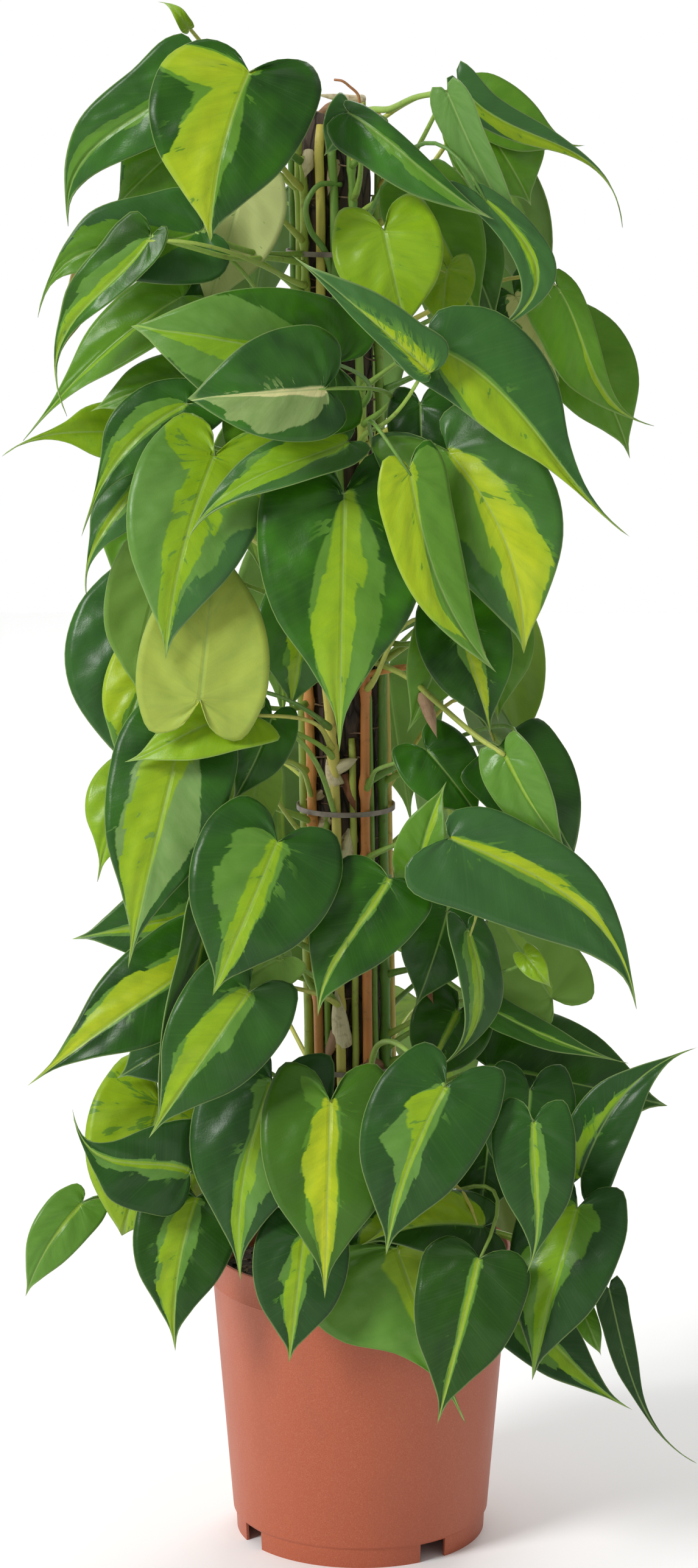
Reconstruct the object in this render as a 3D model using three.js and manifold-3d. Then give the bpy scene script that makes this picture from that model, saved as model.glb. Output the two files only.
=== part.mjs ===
// A brasil philodendron trained up a bark pole in a nursery pot, in millimetres with +Z up.
// The pot stands on Z = 0 with its axis on X = Y = 0, and the side towards -Y is the front.
import * as THREE from "three";
import { mergeVertices } from "three/addons/utils/BufferGeometryUtils.js";
import Module from "manifold-3d";

const wasm = await Module();
wasm.setup();

// Sizes of the pot, a 19 cm nursery pot with four feet
const POT_RIM_RADIUS = 95;
const POT_HEIGHT = 186;
const POT_FOOT_RADIUS = 79;
const POT_FOOT_TOP_RADIUS = 79.6;
const POT_STEP_RADIUS = 81.3;
const POT_STEP_HEIGHT = 14;
const POT_WALL = 1.8;
const POT_FLOOR_BOTTOM = 12;
const POT_LIP_HEIGHT = 20;
const POT_LIP_RADIUS = 93.6;
const POT_RIDGE = 0.7;
const POT_LEDGE = 1.2;
const POT_SIDES = 28;
const FOOT_GAP_ANGLES = [-59, 35, 125, 215];
const FOOT_GAP_WIDTH = 19;
const FOOT_GAP_DEPTH = 12;
const DRAIN_RADIUS = 7;
const DRAIN_CIRCLE = 52;
const DRAIN_SIDES = 8;

// Soil, which fills the pot and leaves the lip free
const SOIL_GAP = 0.35;
const SOIL_BOTTOM = 14.35;
const SOIL_EDGE_HEIGHT = 170;
const SOIL_SHOULDER_HEIGHT = 175;
const SOIL_SHOULDER_RADIUS = 60;
const SOIL_CROWN_HEIGHT = 177;
const SOIL_ROUNDING = 6;
const SOIL_SLACK = 1.2;
const SOIL_SIDES = 14;

// Pole of rough bark, which leans a little to the left
const POLE_RADIUS = 21.5;
const POLE_BOTTOM = 40;
const POLE_TOP = 896;
const POLE_FOOT_X = -1.5;
const POLE_LEAN = -0.0165;
const POLE_SIDES = 14;
const POLE_RINGS = 9;
const POLE_ROUGHNESS = 0.7;
const POLE_HOLE_GAP = 0.65;

// Leafy stems on the pole: angle about the pole in degrees, 0 at the front and 90 at +X
const STEM_RADIUS = 3.3;
const STEM_SIDES = 5;
const STEM_BOTTOM = 70;
const STEM_REACH = 26;
const STEM_STEP = 90;
const STEM_TAPER = 0.3;
const STEM_HOLE_GAP = 0.45;
const STEMS = [
  { name: "vine_01", turn: [[100, -10], [500, -14], [640, -44], [900, -48]], top: 872 },
  { name: "vine_02", turn: [[100, 22], [500, 28], [640, 36], [900, 20]], top: 880 },
  { name: "vine_03", turn: [[100, 58], [500, 62], [640, 78], [900, 62]], top: 850 },
  { name: "vine_04", turn: [[100, 92], [500, 98], [640, 110], [900, 100]], top: 868 },
  { name: "vine_05", turn: [[100, 124], [900, 134]], top: 840 },
  { name: "vine_06", turn: [[100, 155], [900, 164]], top: 862 },
  { name: "vine_07", turn: [[100, 186], [900, 192]], top: 830 },
  { name: "vine_08", turn: [[100, 217], [900, 220]], top: 866 },
  { name: "vine_09", turn: [[100, 249], [900, 248]], top: 846 },
  { name: "vine_10", turn: [[100, 286], [500, 278], [900, 275]], top: 876 },
  { name: "vine_11", turn: [[100, 320], [500, 306], [640, 297], [900, 303]], top: 884 },
];

// Flat ties round the pole and its stems
const TIE_HEIGHTS = [812, 655, 470, 400, 305];
const TIE_WIDTH = 3.2;
const TIE_THICK = 1;
const TIE_GAP = 0.4;

// Leaves
const BLADE_THICK = 0.9;
const PETIOLE_RADIUS = 1.7;
const PETIOLE_BASE_SWELL = 1.1;
const PETIOLE_TAPER = 0.35;
const PETIOLE_END_RADIUS = 0.9;
const PETIOLE_SIDES = 3;
const PETIOLE_PIECES = 3;
const PETIOLE_TURN = 0.5;
const MIDRIB_STOPS = [0, 0.3, 0.62];
const MIDRIB_REACH = [0, 0, 0, 0, 1, 1, 2];
const PLAIN_MIDRIB_STOPS = [0, 0.4];
const PLAIN_MIDRIB_REACH = [0, 0, 0, 1, 1, 1];

// Which midrib stop each outline point is joined to is told by the reach lists.
// Half of a heart-shaped blade. Lobe points are shares of the full width, back from the notch;
// body points are a share of the width and a share of the length before the drip tip.
const LOBE_OUTLINE = [
  [0.13, 0.22],
  [0.33, 0.27],
  [0.47, 0.04],
];
const PLAIN_LOBE_OUTLINE = [
  [0.28, 0.27],
  [0.47, 0.04],
];
const BODY_OUTLINE = [
  [0.5, 0.28],
  [0.4, 0.6],
  [0.17, 0.89],
];
const DRIP_WIDTH = 0.035;
const DRIP_STOP = 0.35;

// How the front was measured: pixels seen from this eye point, 1146 wide and 2576 high
const EYE = new THREE.Vector3(-7.3, -2500, 980);
const LOOKED_AT = new THREE.Vector3(-7.3, 0, 483.6);
const FOCAL_PX = 6749;
const CENTRE_PX = [573, 1288];

// Clear distances that keep blades and petioles from touching
const BLADE_CLEAR = 3;
const PETIOLE_CLEAR = 1.5;
const BARK_CLEAR = 2.7;
const STEM_CLEAR = 0.6;
const LEAST_GAP = 0.4;
const SAMPLE_STEP = 3.2;
const LINE_STEP = 2.5;
// The band of the pot wall, and the soil, that blades and petioles stay out of
const WALL_INSIDE = 78;
const WALL_CLEAR = 1;
const SOIL_REACH = 90;
const CELL = 8;

// How far a leaf may be moved in depth from where it was read, in steps, to hang clear
const SHIFT_STEP = 4;
const SHIFTS_BACK = 16;
const SHIFTS_FORWARD = 8;

// Ways for a petiole, tried in this order from the nearest stems until one is clear
const STEMS_TRIED = 8;
const START_DROPS = [-35, -55, -20, -75, -5, -95, 12, -115, 30];
const ASIDES = [0, 14, -14, 28, -28, 44, -44];
const LIFTS = [18, 34, 4, -10, 60];
const RISES = [0, 16, -14, 30, -28, 48, 66];
const SLANTS = [0.4, 1.1, 0, 2.5];
const SWERVES = [0, 26, -26, 45, -45];
const LOWEST_START = 189;
const START_BELOW_TOP = 6;
const BOW_SHARE = 0.3;
const JOIN_ALONG = 4;
const JOIN_SINK = 0.1;
const NEAR_STEM = 11;
const NEAR_BLADE = 14;

// Every leaf seen from the front, the foremost first. base and tip are pixels, out is how far
// each of them lies in front of the pot's axis in mm, wide is the full width in mm, roll is
// degrees about the midrib, fold is the rise of each half, curl turns its margin back, arch,
// bend and hook bow the midrib in mm, tail is the drip tip's share of the length, lop is the
// extra share of width on the right half and lobe is the share of the usual height of the lobes.
const FRONT_LEAVES = [
  // Crown, left
  { id: 1, base: [409, 119], tip: [345, 398], out: [132, 150], wide: 93, roll: -4, arch: 12, bend: -4, lop: -0.05, tail: 0.12, lobe: 0.55 },
  { id: 2, base: [325, 106], tip: [112, 372], out: [72, 60], wide: 50, roll: -10, fold: 0.2, bend: 4, hook: -20, tail: 0.14, lobe: 0.6 },
  { id: 6, base: [248, 388], tip: [110, 684], out: [108, 100], wide: 34, roll: -20, fold: 0.3, hook: -20, tail: 0.34, lop: -0.3 },
  { id: 5, base: [331, 379], tip: [62, 522], out: [88, 92], wide: 60, roll: -10, fold: 0.2, hook: -20, tail: 0.24, lobe: 0.6 },
  { id: 11, base: [532, 639], tip: [308, 655], out: [152, 168], wide: 66, arch: 10, tail: 0.06, lop: -0.12, lobe: 0.7 },
  { id: 10, base: [548, 597], tip: [215, 536], out: [122, 132], wide: 82, roll: -8, arch: 12, lop: 0.1, tail: 0.08 },
  { id: 7, base: [299, 488], tip: [38, 724], out: [72, 62], wide: 44, roll: -30, fold: 0.3, bend: -6, hook: 3, tail: 0.3 },
  { id: 8, base: [397, 310], tip: [334, 520], out: [92, 96], wide: 58, roll: 172, arch: 6 },
  // Crown, right
  { id: 66, base: [706, 612], tip: [480, 420], out: [160, 142], wide: 26, roll: -10, fold: 0.25, lop: -0.35, lobe: 0.4 },
  { id: 65, base: [722, 574], tip: [1034, 882], out: [140, 150], wide: 60, roll: 10, fold: 0.2, bend: 13, hook: -12, lop: 0.2, tail: 0.34 },
  { id: 68, base: [574, 186], tip: [814, 362], out: [112, 132], wide: 28, roll: 12, fold: -0.25, arch: 10, hook: -4, lop: -0.35, tail: 0.12 },
  { id: 74, base: [790, 322], tip: [773, 562], out: [135, 142], wide: 28, roll: 10, bend: 27, hook: 9 },
  { id: 70, base: [735, 152], tip: [905, 490], out: [122, 112], wide: 24, roll: -20, fold: 0.25, tail: 0.2 },
  { id: 67, base: [630, 378], tip: [666, 540], out: [118, 122], wide: 64, arch: 6, tail: 0.08 },
  { id: 72, base: [752, 132], tip: [1022, 374], out: [70, 58], wide: 22, roll: 20, fold: 0.3, bend: -15, hook: 27, tail: 0.34 },
  { id: 64, base: [735, 740], tip: [860, 1074], out: [122, 132], wide: 84, roll: -6, fold: 0.15, arch: 12, bend: 14, tail: 0.1 },
  { id: 63, base: [672, 770], tip: [815, 1105], out: [146, 152], wide: 42, roll: 10, bend: -9, hook: -3, tail: 0.1 },
  { id: 76, base: [916, 472], tip: [1074, 700], out: [78, 70], wide: 34, lop: -0.4, hook: -12, tail: 0.22 },
  // Middle
  { id: 12, base: [569, 727], tip: [309, 884], out: [134, 146], wide: 38, roll: -34, fold: 0.3, hook: -8 },
  { id: 17, base: [565, 811], tip: [557, 1236], out: [132, 142], wide: 100, arch: 14, fold: 0.08, tail: 0.24 },
  { id: 16, base: [352, 748], tip: [272, 1083], out: [114, 140], wide: 80, arch: 12, bend: -5, tail: 0.14 },
  { id: 13, base: [306, 664], tip: [134, 881], out: [98, 100], wide: 46, roll: -8, bend: -12, hook: 2, tail: 0.34 },
  { id: 18, base: [328, 1150], tip: [352, 890], out: [130, 106], wide: 78, roll: 176, arch: -8, tail: 0.06 },
  { id: 19, base: [410, 1174], tip: [205, 1252], out: [114, 122], wide: 44, roll: -22, bend: -5, hook: 6 },
  { id: 23, base: [296, 1216], tip: [210, 1592], out: [102, 122], wide: 74, roll: -5, arch: 10, tail: 0.22 },
  { id: 24, base: [446, 1178], tip: [379, 1322], out: [72, 82], wide: 38, roll: 16 },
  { id: 57, base: [738, 1377], tip: [1045, 1658], out: [126, 132], wide: 66, roll: 6, fold: 0.14, bend: 14, hook: 9, lop: -0.2, tail: 0.16, lobe: 0.5 },
  { id: 26, base: [455, 1384], tip: [349, 1636], out: [122, 136], wide: 88, arch: 12, lobe: 0.75 },
  { id: 27, base: [639, 1443], tip: [522, 1670], out: [132, 146], wide: 60, hook: -6, lobe: 0.3 },
  { id: 32, base: [408, 1630], tip: [244, 1870], out: [128, 140], wide: 66, arch: 10, tail: 0.2 },
  { id: 31, base: [340, 1490], tip: [262, 1852], out: [104, 118], wide: 44, roll: 42, fold: 0.35, hook: -10 },
  { id: 30, base: [345, 1568], tip: [45, 1784], out: [84, 100], wide: 62, roll: -8, arch: 10, tail: 0.22 },
  { id: 29, base: [345, 1502], tip: [118, 1543], out: [74, 86], wide: 54, roll: -5 },
  { id: 60, base: [830, 1241], tip: [934, 1404], out: [112, 112], wide: 38, roll: -20, fold: 0.3 },
  { id: 59, base: [686, 1436], tip: [733, 1284], out: [104, 100], wide: 34, roll: 20, fold: 0.3 },
  { id: 55, base: [768, 1528], tip: [716, 1757], out: [106, 112], wide: 36, roll: 40, fold: 0.2, bend: 10, hook: 8 },
  { id: 54, base: [800, 1655], tip: [1032, 1747], out: [78, 66], wide: 20, roll: 20, bend: -6, tail: 0.25 },
  { id: 56, base: [906, 1640], tip: [800, 1470], out: [76, 84], wide: 62, roll: 170, lobe: 0.8 },
  // Foot of the plant
  { id: 39, base: [731, 1785], tip: [634, 2062], out: [140, 148], wide: 74, arch: 10, bend: -5 },
  { id: 38, base: [542, 1810], tip: [533, 2133], out: [128, 144], wide: 82, arch: 12, tail: 0.22 },
  { id: 37, base: [446, 1777], tip: [395, 2104], out: [98, 118], wide: 80, roll: -10, arch: 10, bend: -6, tail: 0.2 },
  { id: 50, base: [876, 1844], tip: [865, 2091], out: [140, 142], wide: 50, hook: 5, tail: 0.22 },
  { id: 44, base: [786, 2068], tip: [718, 2340], out: [134, 140], wide: 66, arch: 8, tail: 0.2, lobe: 0.5 },
  { id: 49, base: [948, 1985], tip: [874, 2267], out: [112, 124], wide: 68, roll: -14, arch: 8 },
  { id: 36, base: [312, 1925], tip: [119, 1822], out: [104, 108], wide: 64, hook: 17, tail: 0.28, lobe: 0.35 },
  { id: 90, base: [793, 2014], tip: [594, 2045], out: [116, 128], wide: 44, roll: -16, bend: -4 },
  { id: 41, base: [498, 2034], tip: [475, 2238], out: [122, 126], wide: 58, arch: 6 },
  { id: 45, base: [652, 2050], tip: [765, 2340], out: [96, 112], wide: 92, roll: -10, lop: -0.45, tail: 0.42, lobe: 0.45 },
  { id: 40, base: [322, 1968], tip: [288, 2220], out: [88, 104], wide: 64, arch: 8, bend: -5, tail: 0.2, lobe: 0.5 },
  { id: 51, base: [954, 1932], tip: [1144, 1721], out: [84, 74], wide: 42, bend: 11, hook: 3, fold: 0.2, tail: 0.22 },
  { id: 42, base: [134, 1978], tip: [42, 2130], out: [66, 74], wide: 34, bend: -4, tail: 0.14 },
  { id: 35, base: [262, 1812], tip: [200, 2030], out: [68, 78], wide: 80, arch: 12, tail: 0.06 },
  { id: 46, base: [815, 2132], tip: [1038, 2316], out: [92, 98], wide: 44, roll: 10, bend: 3, hook: -6, tail: 0.22 },
  { id: 47, base: [1000, 2118], tip: [1144, 2404], out: [52, 34], wide: 20, roll: 10, bend: -10, hook: -6, tail: 0.42 },
  { id: 52, base: [800, 1752], tip: [1096, 1817], out: [22, 6], wide: 84, roll: 10, tail: 0.12 },
  { id: 53, base: [870, 1790], tip: [852, 1985], out: [78, 84], wide: 58, roll: 5 },
];

// Leaves of the second row, behind the foremost, whose blades are drawn more plainly
const SECOND_ROW_LEAVES = [
  { id: 103, base: [140, 452], tip: [92, 620], out: [28, 24], wide: 18, roll: 20, hook: -5, tail: 0.3 },
  { id: 3, base: [309, 46], tip: [260, 3], out: [52, 56], wide: 9, roll: 20, bend: -3, hook: -3 },
  { id: 4, base: [322, 218], tip: [186, 345], out: [48, 44], wide: 62, roll: -12 },
  { id: 9, base: [354, 400], tip: [262, 500], out: [58, 52], wide: 52, roll: -8 },
  { id: 14, base: [226, 706], tip: [3, 750], out: [44, 58], wide: 38, roll: -10, hook: -6, tail: 0.42 },
  { id: 15, base: [306, 622], tip: [149, 676], out: [82, 84], wide: 36, roll: -18 },
  { id: 100, base: [252, 820], tip: [190, 975], out: [48, 52], wide: 52, roll: -12 },
  { id: 101, base: [228, 787], tip: [142, 980], out: [74, 78], wide: 32, roll: -14, hook: -6, tail: 0.36 },
  { id: 20, base: [250, 990], tip: [218, 1268], out: [42, 54], wide: 86, roll: -10, arch: 8, bend: -8, tail: 0.06 },
  { id: 21, base: [262, 932], tip: [238, 1160], out: [70, 78], wide: 58, roll: 188, hook: 5 },
  { id: 22, base: [252, 1082], tip: [190, 1262], out: [62, 70], wide: 48, roll: -12 },
  { id: 98, base: [500, 1000], tip: [476, 1168], out: [62, 66], wide: 56, roll: 6 },
  { id: 104, base: [420, 668], tip: [392, 800], out: [70, 72], wide: 38, roll: 10 },
  { id: 25, base: [424, 1270], tip: [412, 1410], out: [80, 86], wide: 32, roll: 190 },
  { id: 28, base: [214, 1288], tip: [160, 1449], out: [72, 78], wide: 46, roll: -16, tail: 0.3 },
  { id: 106, base: [462, 1572], tip: [372, 1630], out: [66, 70], wide: 36, roll: 188 },
  { id: 34, base: [322, 1700], tip: [192, 1772], out: [58, 62], wide: 50, roll: -8 },
  { id: 86, base: [744, 1012], tip: [668, 1204], out: [62, 62], wide: 42, roll: 14 },
  { id: 62, base: [752, 1016], tip: [806, 1206], out: [86, 92], wide: 56, roll: 6 },
  { id: 63.5, base: [793, 1010], tip: [818, 1185], out: [46, 50], wide: 58, roll: 14 },
  { id: 61, base: [818, 1226], tip: [940, 1408], out: [76, 74], wide: 62, roll: 16, bend: 2, tail: 0.04, lobe: 0.15 },
  { id: 87, base: [700, 1232], tip: [790, 1350], out: [72, 76], wide: 46, roll: 10 },
  { id: 58, base: [862, 1568], tip: [906, 1624], out: [102, 106], wide: 16 },
  { id: 84, base: [690, 664], tip: [702, 806], out: [108, 112], wide: 40, roll: -8 },
  { id: 83, base: [734, 440], tip: [724, 548], out: [96, 100], wide: 34 },
  { id: 81, base: [690, 318], tip: [792, 536], out: [88, 92], wide: 54, roll: 8 },
  { id: 82, base: [742, 368], tip: [816, 535], out: [66, 70], wide: 46, roll: 14 },
  { id: 80, base: [845, 486], tip: [918, 630], out: [86, 84], wide: 50, roll: 14 },
  { id: 77, base: [936, 556], tip: [1034, 753], out: [46, 42], wide: 56, roll: 10, bend: 3, tail: 0.18 },
  { id: 71, base: [778, 166], tip: [960, 239], out: [22, 14], wide: 38, roll: 12, hook: -6, tail: 0.22 },
  { id: 75, base: [800, 214], tip: [872, 338], out: [18, 14], wide: 58, roll: 12 },
  { id: 88, base: [734, 1498], tip: [682, 1655], out: [60, 64], wide: 50, roll: 8 },
  { id: 89, base: [752, 1662], tip: [690, 1785], out: [76, 82], wide: 50 },
  { id: 91, base: [760, 2020], tip: [734, 2098], out: [100, 102], wide: 44 },
  { id: 92, base: [652, 1984], tip: [574, 2088], out: [96, 102], wide: 54 },
  { id: 93, base: [802, 1868], tip: [788, 2012], out: [88, 92], wide: 46 },
  { id: 48, base: [954, 2148], tip: [987, 2227], out: [56, 56], wide: 15 },
  { id: 107, base: [572, 182], tip: [532, 256], out: [92, 90], wide: 24, roll: 10 },
];

// Leaves of the back, placed by a rule with a seeded draw
const BACK_LEAVES = 24;
const BACK_SEED = 4217;
const BACK_LOW = 215;
const BACK_HIGH = 880;
const BACK_ARC = [112, 248];
const BACK_RADIUS = 88;
const BACK_DEPTH = 44;
const BACK_SPREAD = 10;
const BACK_LENGTH = [96, 36];
const BACK_SWING = 50;
const BACK_LEAN = [14, 20];
const BACK_FACE_UP = 0.35;
const BACK_WIDTH = [0.56, 0.1];
const BACK_ROLL = 36;
const BACK_FOLD = [0.08, 0.2];
const BACK_ARCH = [6, 8];
const BACK_BEND = 14;
const BACK_TAIL = [0.16, 0.1];
const BACK_FIRST_ID = 200;
const GOLDEN_SHARE = 0.618034;

const radians = (degrees) => (degrees * Math.PI) / 180;
const vec = (x, y, z) => new THREE.Vector3(x, y, z);

// Linear look-up in a list of [position, value] pairs
function valueAt(stops, position) {
  if (position <= stops[0][0]) return stops[0][1];
  for (let i = 1; i < stops.length; i++) {
    if (position <= stops[i][0]) {
      const share = (position - stops[i - 1][0]) / (stops[i][0] - stops[i - 1][0]);
      return stops[i - 1][1] + share * (stops[i][1] - stops[i - 1][1]);
    }
  }
  return stops[stops.length - 1][1];
}

// A repeatable draw between 0 and 1
function seededDraw(seed) {
  let state = seed;
  return () => {
    state = (state * 48271) % 2147483647;
    return state / 2147483647;
  };
}

// The point that a pixel shows, out mm in front of the pot's axis
const FORWARD = LOOKED_AT.clone().sub(EYE).normalize();
const RIGHTWARD = FORWARD.clone().cross(vec(0, 0, 1)).normalize();
const UPWARD = RIGHTWARD.clone().cross(FORWARD);
function pointAt([px, py], out) {
  const ray = FORWARD.clone()
    .addScaledVector(RIGHTWARD, (px - CENTRE_PX[0]) / FOCAL_PX)
    .addScaledVector(UPWARD, (CENTRE_PX[1] - py) / FOCAL_PX);
  return EYE.clone().addScaledVector(ray, (-out - EYE.y) / ray.y);
}

// A solid from a list of triangles, each three points
function solidOf(triangles) {
  const positions = new Float32Array(triangles.length * 9);
  triangles.flat().forEach((point, i) => point.toArray(positions, 3 * i));
  const geometry = new THREE.BufferGeometry();
  geometry.setAttribute("position", new THREE.BufferAttribute(positions, 3));
  return solidOfGeometry(geometry);
}

function solidOfGeometry(geometry) {
  const bare = new THREE.BufferGeometry();
  bare.setAttribute("position", geometry.getAttribute("position"));
  if (geometry.index) bare.setIndex(geometry.index);
  const merged = mergeVertices(bare, 1e-4);
  return new wasm.Manifold(
    new wasm.Mesh({
      numProp: 3,
      vertProperties: merged.attributes.position.array,
      triVerts: new Uint32Array(merged.index.array),
    }),
  );
}

// A tube with flat ends through rings of points, all with the same number of points
function tubeOf(rings) {
  const triangles = [];
  const sides = rings[0].length;
  for (let i = 1; i < rings.length; i++) {
    for (let k = 0; k < sides; k++) {
      const next = (k + 1) % sides;
      triangles.push([rings[i - 1][k], rings[i - 1][next], rings[i][next]]);
      triangles.push([rings[i - 1][k], rings[i][next], rings[i][k]]);
    }
  }
  const last = rings[rings.length - 1];
  for (let k = 1; k + 1 < sides; k++) {
    triangles.push([rings[0][0], rings[0][k + 1], rings[0][k]]);
    triangles.push([last[0], last[k], last[k + 1]]);
  }
  return solidOf(triangles);
}

// A regular ring about a centre, in the plane square to a direction
function ringAbout(centre, direction, radius, sides, turn = 0) {
  const aside = vec(1, 0, 0).addScaledVector(direction, -direction.x).normalize();
  const across = direction.clone().cross(aside);
  return Array.from({ length: sides }, (_, k) => {
    const angle = turn + (2 * Math.PI * k) / sides;
    return centre
      .clone()
      .addScaledVector(aside, radius * Math.cos(angle))
      .addScaledVector(across, radius * Math.sin(angle));
  });
}

// Pot: one turned profile, with four gaps cut in its foot and drain holes in its floor
function makePot() {
  const inner = (radius) => radius - POT_WALL;
  const lipBottom = POT_HEIGHT - POT_LIP_HEIGHT;
  const profile = [
    [0, POT_FLOOR_BOTTOM],
    [inner(POT_FOOT_TOP_RADIUS), POT_FLOOR_BOTTOM],
    [inner(POT_FOOT_RADIUS), 0],
    [POT_FOOT_RADIUS, 0],
    [POT_FOOT_TOP_RADIUS, POT_FLOOR_BOTTOM],
    [POT_STEP_RADIUS, POT_STEP_HEIGHT],
    [POT_LIP_RADIUS, lipBottom - POT_RIDGE],
    [POT_LIP_RADIUS + POT_RIDGE, lipBottom],
    [POT_LIP_RADIUS + POT_RIDGE / 2, lipBottom + POT_RIDGE],
    [POT_RIM_RADIUS, POT_HEIGHT],
    [inner(POT_RIM_RADIUS), POT_HEIGHT],
    [inner(POT_LIP_RADIUS), lipBottom + POT_RIDGE],
    [inner(POT_LIP_RADIUS) - POT_LEDGE, lipBottom - POT_RIDGE],
    [inner(POT_STEP_RADIUS), POT_STEP_HEIGHT],
    [0, POT_STEP_HEIGHT],
  ];
  const turned = new THREE.LatheGeometry(
    profile.map(([r, z]) => new THREE.Vector2(r, z)),
    POT_SIDES,
  );
  turned.rotateX(Math.PI / 2);
  let pot = solidOfGeometry(turned);
  for (const degrees of FOOT_GAP_ANGLES) {
    const gap = new THREE.BoxGeometry(FOOT_GAP_WIDTH, FOOT_GAP_DEPTH, 2 * POT_FLOOR_BOTTOM);
    gap.translate(0, -POT_FOOT_RADIUS, 0);
    gap.rotateZ(radians(degrees));
    pot = pot.subtract(solidOfGeometry(gap));
    const drain = new THREE.CylinderGeometry(DRAIN_RADIUS, DRAIN_RADIUS, 3 * POT_STEP_HEIGHT, DRAIN_SIDES);
    drain.rotateX(Math.PI / 2);
    drain.translate(0, -DRAIN_CIRCLE, 0);
    drain.rotateZ(radians(degrees));
    pot = pot.subtract(solidOfGeometry(drain));
  }
  return pot;
}

// The pole's axis at a height
const poleCentre = (z) => vec(POLE_FOOT_X + POLE_LEAN * z, 0, z);

function poleRings(extra) {
  const rings = [];
  for (let i = 0; i <= POLE_RINGS; i++) {
    const z = POLE_BOTTOM - extra + ((POLE_TOP - POLE_BOTTOM + 2 * extra) * i) / POLE_RINGS;
    const ring = ringAbout(poleCentre(z), vec(0, 0, 1), POLE_RADIUS + extra, POLE_SIDES);
    if (!extra) {
      ring.forEach((point, k) => {
        const rough = 1 - (POLE_ROUGHNESS * (1 + Math.sin(2.3 * i + 4.1 * k))) / (2 * POLE_RADIUS);
        const centre = poleCentre(z);
        point.sub(centre).multiplyScalar(rough).add(centre);
      });
    }
    rings.push(ring);
  }
  return rings;
}

// A stem's centre at a height
function stemCentre(stem, z) {
  const angle = radians(valueAt(stem.turn, z));
  return poleCentre(z).add(vec(STEM_REACH * Math.sin(angle), -STEM_REACH * Math.cos(angle), 0));
}

// A stem's radius at a height: it thins towards its top
function stemRadius(stem, z) {
  const share = (z - STEM_BOTTOM) / (stem.top - STEM_BOTTOM);
  return STEM_RADIUS * (1 - STEM_TAPER * share ** 3);
}

function stemRings(stem, extra) {
  const rings = [];
  const count = Math.round((stem.top - STEM_BOTTOM) / STEM_STEP);
  for (let i = 0; i <= count; i++) {
    const z = STEM_BOTTOM + ((stem.top - STEM_BOTTOM) * i) / count;
    const centre = stemCentre(stem, z - (i ? 0 : extra));
    rings.push(ringAbout(centre, vec(0, 0, 1), stemRadius(stem, z) + extra, STEM_SIDES));
  }
  return rings;
}

// Soil: a low mound in the pot, with a hole for the pole and one for each stem
function makeSoil() {
  const lipInside = POT_LIP_RADIUS - POT_WALL - POT_LEDGE - SOIL_GAP - SOIL_SLACK;
  const stepInside = POT_STEP_RADIUS - POT_WALL - SOIL_GAP - SOIL_SLACK;
  const profile = [
    [0, SOIL_BOTTOM],
    [stepInside, SOIL_BOTTOM],
    [lipInside - SOIL_SLACK / 2, SOIL_EDGE_HEIGHT - SOIL_ROUNDING],
    [lipInside - 2 * SOIL_SLACK, SOIL_EDGE_HEIGHT],
    [SOIL_SHOULDER_RADIUS, SOIL_SHOULDER_HEIGHT],
    [0, SOIL_CROWN_HEIGHT],
  ];
  const turned = new THREE.LatheGeometry(
    profile.map(([r, z]) => new THREE.Vector2(r, z)),
    SOIL_SIDES,
  );
  turned.rotateX(Math.PI / 2);
  let soil = solidOfGeometry(turned);
  soil = soil.subtract(tubeOf(poleRings(POLE_HOLE_GAP)));
  for (const stem of STEMS) soil = soil.subtract(tubeOf(stemRings(stem, STEM_HOLE_GAP)));
  return soil;
}

// Where the straight pieces of a stem run at a height
function drawnCentre(stem, z) {
  const count = Math.round((stem.top - STEM_BOTTOM) / STEM_STEP);
  const step = (stem.top - STEM_BOTTOM) / count;
  const below = STEM_BOTTOM + step * Math.floor((z - STEM_BOTTOM) / step);
  return stemCentre(stem, below).lerp(stemCentre(stem, below + step), (z - below) / step);
}

// A tie's corners: one just outside each stem that reaches its height, spread mm off the stems
function tieCorners(z, spread) {
  const centre = poleCentre(z);
  const stems = STEMS.filter((stem) => stem.top > z);
  const offsets = stems.map((stem) => drawnCentre(stem, z).sub(centre));
  return stems.map((stem, i) => {
    const before = offsets[(i + stems.length - 1) % stems.length];
    const after = offsets[(i + 1) % stems.length];
    const widest = Math.max(offsets[i].angleTo(before), offsets[i].angleTo(after));
    const reach = offsets[i].length() + (stemRadius(stem, z) + spread) / Math.cos(widest / 2);
    return offsets[i].clone().setLength(reach).add(centre);
  });
}

// A tie: a flat band drawn round all the stems at one height
function makeTie(z) {
  const flat = (point) => new THREE.Vector2(point.x, point.y);
  const outline = new THREE.Shape(tieCorners(z, TIE_GAP + TIE_THICK).map(flat));
  outline.holes.push(new THREE.Path(tieCorners(z, TIE_GAP).map(flat)));
  const band = new THREE.ExtrudeGeometry(outline, { depth: TIE_WIDTH, bevelEnabled: false });
  band.translate(0, 0, z - TIE_WIDTH / 2);
  return solidOfGeometry(band);
}

// A leaf's own frame: where its base and tip are, and which ways its side and face look
function frameOf(leaf, shift) {
  let base;
  let tip;
  let face;
  if (leaf.base) {
    base = pointAt(leaf.base, leaf.out[0] + shift);
    tip = pointAt(leaf.tip, leaf.out[1] + shift);
    face = EYE.clone().sub(base).normalize();
  } else {
    const inward = leaf.away.clone().multiplyScalar(shift);
    base = leaf.from.clone().add(inward);
    tip = leaf.to.clone().add(inward);
    face = leaf.face;
  }
  const along = tip.clone().sub(base);
  const unit = along.clone().normalize();
  const normal = face.clone().addScaledVector(unit, -face.dot(unit)).normalize();
  return { base, tip, along, normal, side: normal.clone().cross(unit) };
}

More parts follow.
